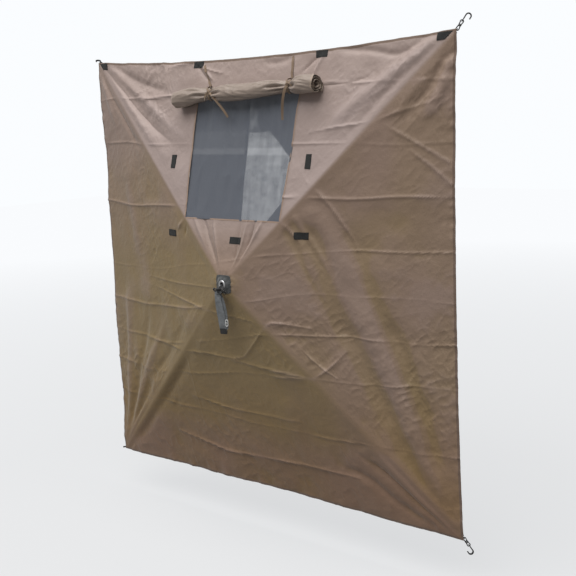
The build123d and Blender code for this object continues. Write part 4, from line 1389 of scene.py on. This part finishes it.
def hub_patch():
    """Square webbing patch with rounded corners, under the ring, and its stitching."""
    turn = np.linspace(0, 2 * np.pi, 97)
    rings = np.concatenate([[PATCH_HOLE, 13.0, PATCH_FLAT], np.linspace(18, PATCH_HALF_X, 12)])
    angle, ring = mesh_grid(turn, rings)
    power = 6.0
    square = 1.0 / (np.abs(np.cos(angle) / PATCH_HALF_X) ** power
                    + np.abs(np.sin(angle) / PATCH_HALF_Z) ** power) ** (1 / power)
    far = (ring - PATCH_HOLE) / (PATCH_HALF_X - PATCH_HOLE)
    radius = ring * (1 - far) + square * (ring / PATCH_HALF_X) * far
    x, z = radius * np.cos(angle), radius * np.sin(angle)
    y = patch_depth(x, z, radius) - 0.5 * np.sin(angle * 9) * bell(radius, 6.0, 25)
    points = np.stack([x, y, z], -1)
    sheet("hub_patch_cloth", [(points, grid_normals(points, FORWARD), 0)], [patch_web], 1.4,
          "hub", "hub_patch")
    for row, inset in enumerate((0.93, 0.84)):
        radius = square[:, -1] * inset
        x, z = radius * np.cos(turn), radius * np.sin(turn)
        line = np.stack([x, patch_depth(x, z, radius) - 1.0, z], -1)
        stitches("hub_patch_stitch_%d" % row, line, np.repeat([FORWARD], len(line), 0),
                 dark_thread, "hub", radius=0.45, dash=3.4, gap=1.5)


for corner, signs in CORNERS.items():
    crown_quarter(corner, *signs)
hub_patch()

# ------------------------------------------------------------------ pull strap
STRAP_WIDTH = 29.0
CORD_BRAID = 0.10

# cords in front of the ring: name, radius, samples, closed, replaced piece, points
STRAP_CORDS = [
    ("strap_cord", 2.5, 120, False, "strap_loop", [
        (2, 1.5, 1), (1, -7, -2), (-2, -13, -8), (-3, -19, -15), (-6, -22, -22),
        (-4, -21.5, -27), (2, -20, -27), (4, -18, -20), (3, -14, -11), (2, -8, -4),
        (-1, 1.5, -1)]),
    ("strap_knot", 3.0, 96, True, None, [
        (-12, -20, -14), (-5, -26, -18), (4, -23, -16), (7, -18, -20), (-1, -16, -24),
        (-12, -19, -22), (-9, -26, -16), (2, -26.5, -13), (9, -21, -12), (1, -17, -15)]),
    ("strap_bow_left", 2.6, 60, False, None, [
        (-7, -21, -18), (-17, -24, -13), (-26, -22, -15), (-25, -19, -23), (-15, -19, -24),
        (-7, -20, -19)]),
    ("strap_bow_right", 2.6, 60, False, None, [
        (4, -20, -18), (13, -19, -17), (21, -15, -21), (23, -11, -27), (20, -9.5, -33)]),
]
CROSS_BAR = [(-17.5, -21, -27), (-9, -22.4, -27.3), (-1, -22.6, -27.4), (8, -21.4, -27.3),
             (15.5, -19.5, -27)]
# slider at the strap's right edge, from its own middle
SLIDER_LOOP = [(-3.5, -1.5, 10), (1.0, -1.5, 11), (4.0, 0.5, 7), (4.0, 0.5, -8),
               (1.0, -1.5, -12), (-3.5, -1.5, -11), (-4.5, -2.2, -6), (-4.5, -2.2, 5)]
SLIDER_BAR = [(-4.6, -2.0, 0.0), (0, -2.6, 0.0), (4.0, 0.4, 0.0)]


def strap_path(share):
    """Centre of the hanging strap at a share of its length: x, y, z."""
    x = -10.0 + 11.0 * share + 2.0 * np.sin(share * 3.0)
    y = -21.5 + 11.5 * smooth(share, -0.1, 1.0)
    return x, y, -25.0 - 145.0 * share


def strap_layer(name, back, end, curl, phase, replaces=None):
    """One layer of webbing, lying back behind the strap's path."""
    share = np.linspace(0, end, 100)
    x, y, z = strap_path(share)
    y = y + back - curl * 3.0 * np.sin(share * math.pi) - 0.6 * np.sin(share * 7 + phase)
    line = np.stack([x + 1.6 * back * smooth(share, 0, .3), y, z], -1)
    angle = 0.16 + 0.30 * np.sin(share * 2.6 + phase) * smooth(share, 0, .15)
    width_dir, normals = twisted(heading(line), RIGHTWARD, -FORWARD, angle[:, None], FORWARD)
    j = np.linspace(-1, 1, 23)
    width = STRAP_WIDTH * (0.80 + 0.20 * smooth(share, 0.0, 0.55))
    cup = -1.6 * j[None, :] ** 2 * (1 - 0.7 * smooth(share, 0.0, 0.8))[:, None]
    ribs = 0.22 * np.sin(j * 26)[None, :]
    points = (line[:, None] + width_dir[:, None] * (j[None, :] * width[:, None] / 2)[..., None]
              + normals[:, None] * (cup + ribs)[..., None])
    sheet(name, [(points, np.repeat(normals[:, None], 23, 1), 0)], [strap_web], 1.5,
          "strap", replaces)


def strap_turn():
    """The rolled turn of webbing over the bar."""
    turn = np.linspace(-0.55 * math.pi, 0.5 * math.pi + 0.5, 18)
    line = np.stack([-1.5 + 0 * turn, -19.6 - 4.9 * np.sin(turn), -28.5 + 5.0 * np.cos(turn)], -1)
    normals = np.stack([0 * turn, -np.sin(turn), np.cos(turn)], -1)
    j = np.linspace(-1, 1, 15)
    points = line[:, None] + np.array([1.0, 0.14, 0]) * (j * 11.6)[None, :, None]
    sheet("strap_turn", [(points, np.repeat(normals[:, None], 15, 1), 0)], [strap_web], 1.5,
          "strap")


def strap_slider():
    middle = np.array(strap_path(0.80)) + (20.5, 2.5, 0)
    tube("strap_slider", spline(middle + np.array(SLIDER_LOOP), 90, closed=True), 2.0,
         pale_plastic, "strap", closed=True)
    tube("strap_slider_bar", spline(middle + np.array(SLIDER_BAR), 24), 1.6, pale_plastic,
         "strap")


def strap_end():
    """The thick black turned end."""
    share = np.linspace(0, 1, 28)
    x, y, z = strap_path(0.955)
    line = np.stack([x + 1.0 * share, y + 1.5 + 0.5 * np.sin(share * 3), z - 20.5 * share], -1)
    j = np.linspace(-1, 1, 19)
    half = 13.6 * (1 - 0.10 * smooth(share, .7, 1.0))
    angle = 0.25
    width_dir = np.array([math.cos(angle), math.sin(angle), 0.0])
    normals = np.repeat([[math.sin(angle), -math.cos(angle), 0]], 28, 0)
    crown = 0.9 * np.cos(j * 1.4) + 0.25 * np.sin(j * 19)
    points = (line[:, None] + width_dir * (j[None, :] * half[:, None])[..., None]
              + normals[:, None] * crown[None, :, None])
    sheet("strap_end_wrap", [(points, np.repeat(normals[:, None], 19, 1), 0)], [black_web], 6.6,
          "strap", "strap_tip")


for name, radius, samples, closed, replaced, points in STRAP_CORDS:
    tube(name, spline(points, samples, closed), radius, cord_cover, "strap",
         closed=closed, braid=CORD_BRAID, replaces=replaced)
tube("strap_cross_bar", spline(CROSS_BAR, 40), 3.1 * (1 - 0.18 * np.linspace(-1, 1, 40) ** 6),
     plastic, "strap", sides=16, replaces="strap_bar")
strap_layer("strap_web_front", back=0.0, end=0.985, curl=1.0, phase=0.3, replaces="pull_strap")
strap_layer("strap_web_back", back=4.2, end=0.97, curl=-0.2, phase=0.9)
strap_turn()
strap_slider()
strap_end()

# the strap pieces get meshes of their own
for ob in list(bpy.data.objects):
    if ob.name.startswith("strap_"):
        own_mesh(ob)

# ------------------------------------------------------------------ corners
TIP_END = 1194.0                     # along the pole from its pin
LOOP_START, LOOP_LONG = 10.4, 26     # cord loop: from the tip, and its straight length
# by side: direction of the cord (z turns with the corner), and a hint for its flat side
CORDS = {1: ((0.42, 0.35, 0.84), (-0.65, 0.74, -0.17)), -1: ((-0.80, 0.50, 0.33), (0, 0, 1))}


def corner_sleeve(corner, pin, along, level, upright):
    """Sleeve sewn into the corner, round the end of the pole."""
    stations = np.concatenate([[1143, 1143.2], np.linspace(1144, 1188, 40), [1188.8, 1189]])
    station, turn = mesh_grid(stations, np.linspace(0, 2 * np.pi, 41))
    radius = (7.15 + 0.5 * np.cos(turn * 2)
              + 0.35 * noise(station / 7.0, turn * 1.9, 91) * np.sin(turn / 2) ** 2
              + 0.4 * bell(station, 2.5, 1146) + 0.5 * bell(station, 2.5, 1186))
    normals = np.cos(turn)[..., None] * level + np.sin(turn)[..., None] * upright
    points = pin + along * station[..., None] + radius[..., None] * normals
    sheet("corner_sleeve_" + corner, [(points, normals, 0)], [black_web], 1.1,
          "arm_" + corner, "pocket_" + corner)


def cord_loop(corner, tip, direction, hint):
    """Elastic loop beyond the tip, with its two strands whipped together in the middle."""
    direction = unit(np.array(direction, float))
    flat = np.array(hint, float)
    flat = unit(flat - (flat @ direction) * direction)
    side = np.cross(flat, direction)
    start = tip + direction * LOOP_START
    straight = np.linspace(0, LOOP_LONG, 14)[:, None]
    arc = np.linspace(0, math.pi, 16)[1:-1, None]
    loop = np.concatenate([
        start + direction * straight + side * 5.0,
        start + direction * (LOOP_LONG + 5.2 * np.sin(arc)) + side * 5.0 * np.cos(arc),
        start + direction * straight[::-1] - side * 5.0,
        start - direction * 5.2 * np.sin(arc) - side * 5.0 * np.cos(arc)])
    middle = start + direction * LOOP_LONG / 2
    # the two strands lie close together between the eyes
    along = ((loop - middle) @ direction)[:, None]
    off = (loop - middle) - along * direction
    loop = middle + along * direction + off * (1 - 0.42 * bell(along, 9.0))
    body = "cord_" + corner
    tube("cord_loop_" + corner, loop, 1.7, cord_cover, body, closed=True,
         braid=0.12, replaces=body)
    turn = np.linspace(0, 4 * math.pi, 60)[:, None]
    whip = (middle + direction * (3.2 * np.sin(turn / 2))
            + (side * np.cos(turn) + flat * np.sin(turn)) * (4.3 + 0.5 * np.cos(2.5 * turn)))
    tube("cord_whip_" + corner, whip, 1.35, cord_cover, body, sides=10,
         braid=0.1)


for corner, (sign_x, sign_z) in CORNERS.items():
    flat_pole = pole_direction(sign_x, sign_z)
    pole = flat_pole * math.cos(POLE_RAKE) + np.array([0, math.sin(POLE_RAKE), 0])
    pin = flat_pole * PIN_RADIUS + np.array([0, PIN_Y, 0])
    level = np.array([flat_pole[2], 0, -flat_pole[0]])
    corner_sleeve(corner, pin, pole, level, np.cross(pole, level))
    (x, y, z), hint = CORDS[sign_x]
    cord_loop(corner, pin + pole * TIP_END, (x, y, sign_z * z), hint)

# ------------------------------------------------------------------ carried-over pieces
finish = {"hub_body": plastic, "hub_rear_plate": plastic, "hub_screws": steel,
          "pivot_pins": steel, "hub_grommet": grommet_metal}
for corner in CORNERS:
    finish.update({"socket_" + corner: plastic, "pole_" + corner: pole_finish,
                   "tip_" + corner: plastic, "hook_" + corner: plastic})
for ob in list(bpy.data.objects):
    key = ob.name.split(".")[0]
    if ob.type == "MESH" and key in finish:
        if len(ob.material_slots) == 0:
            ob.data.materials.append(finish[key])
        for slot in ob.material_slots:
            slot.material = finish[key]


# ------------------------------------------------------------------ stage
def stage_material():
    """White floor that gives off some light of its own to the camera, more farther out."""
    material, tree, shader = principled("stage_white", (0.86, 0.86, 0.86), 0.9)
    camera_ray = node(tree, "ShaderNodeLightPath").outputs["Is Camera Ray"]
    color = mix(tree, camera_ray, (0.26, 0.25, 0.24), (0.45, 0.45, 0.45))
    tree.links.new(color, shader.inputs["Base Color"])
    glow = node(tree, "ShaderNodeEmission", Color=(0.95, 0.965, 0.985, 1))
    length = node(tree, "ShaderNodeVectorMath", operation="LENGTH")
    tree.links.new(object_coords(tree), length.inputs[0])
    spread = ramp(tree, length.outputs["Value"], 1.6, 9.0, to_low=0.66, to_high=1.0)
    mixer = node(tree, "ShaderNodeMixShader")
    tree.links.new(math_node(tree, "MULTIPLY", camera_ray, spread), mixer.inputs["Fac"])
    tree.links.new(shader.outputs["BSDF"], mixer.inputs[1])
    tree.links.new(glow.outputs["Emission"], mixer.inputs[2])
    tree.links.new(mixer.outputs["Shader"], tree.nodes["Material Output"].inputs["Surface"])
    return material


def add_floor():
    bpy.ops.mesh.primitive_plane_add(size=30, location=(0, 0, -1.02))
    floor = bpy.context.object
    floor.name = "floor"
    floor.data.materials.append(stage_material())


def add_world():
    """Full white to the camera, dimmer as a light."""
    world = bpy.data.worlds.new("studio")
    bpy.context.scene.world = world
    world.use_nodes = True
    tree = world.node_tree
    background = tree.nodes["Background"]
    background.inputs["Color"].default_value = (0.96, 0.98, 1.0, 1)
    camera_ray = node(tree, "ShaderNodeLightPath").outputs["Is Camera Ray"]
    strength = ramp(tree, camera_ray, to_low=0.24, to_high=1.0)
    tree.links.new(strength, background.inputs["Strength"])


def add_key_light():
    light = bpy.data.lights.new("key", "AREA")
    light.shape = "SQUARE"
    light.size = 12.0
    light.energy = 1660
    light.color = (1.0, 0.985, 0.965)
    ob = bpy.data.objects.new("key", light)
    bpy.context.scene.collection.objects.link(ob)
    place, target = Vector((-0.35, -3.5, 9.4)), Vector((0, 0, 0.1))
    ob.location = place
    ob.rotation_euler = (target - place).to_track_quat("-Z", "Y").to_euler()


def add_camera():
    camera = bpy.data.cameras.new("camera")
    camera.lens = 64.87
    camera.sensor_width = 36.0
    camera.clip_end = 60.0
    ob = bpy.data.objects.new("camera", camera)
    bpy.context.scene.collection.objects.link(ob)
    right = Vector((0.75539, 0.65395, -0.04168))
    down = Vector((0.07938, -0.15446, -0.98480))
    ahead = Vector((-0.65045, 0.74060, -0.16859))
    turn = Matrix((right, -down, -ahead)).transposed()
    ob.matrix_world = Matrix.Translation(Vector((2.66033, -2.66654, 0.61916))) @ turn.to_4x4()
    bpy.context.scene.camera = ob


add_floor()
add_world()
add_key_light()
add_camera()
bpy.context.scene.view_settings.view_transform = "Standard"
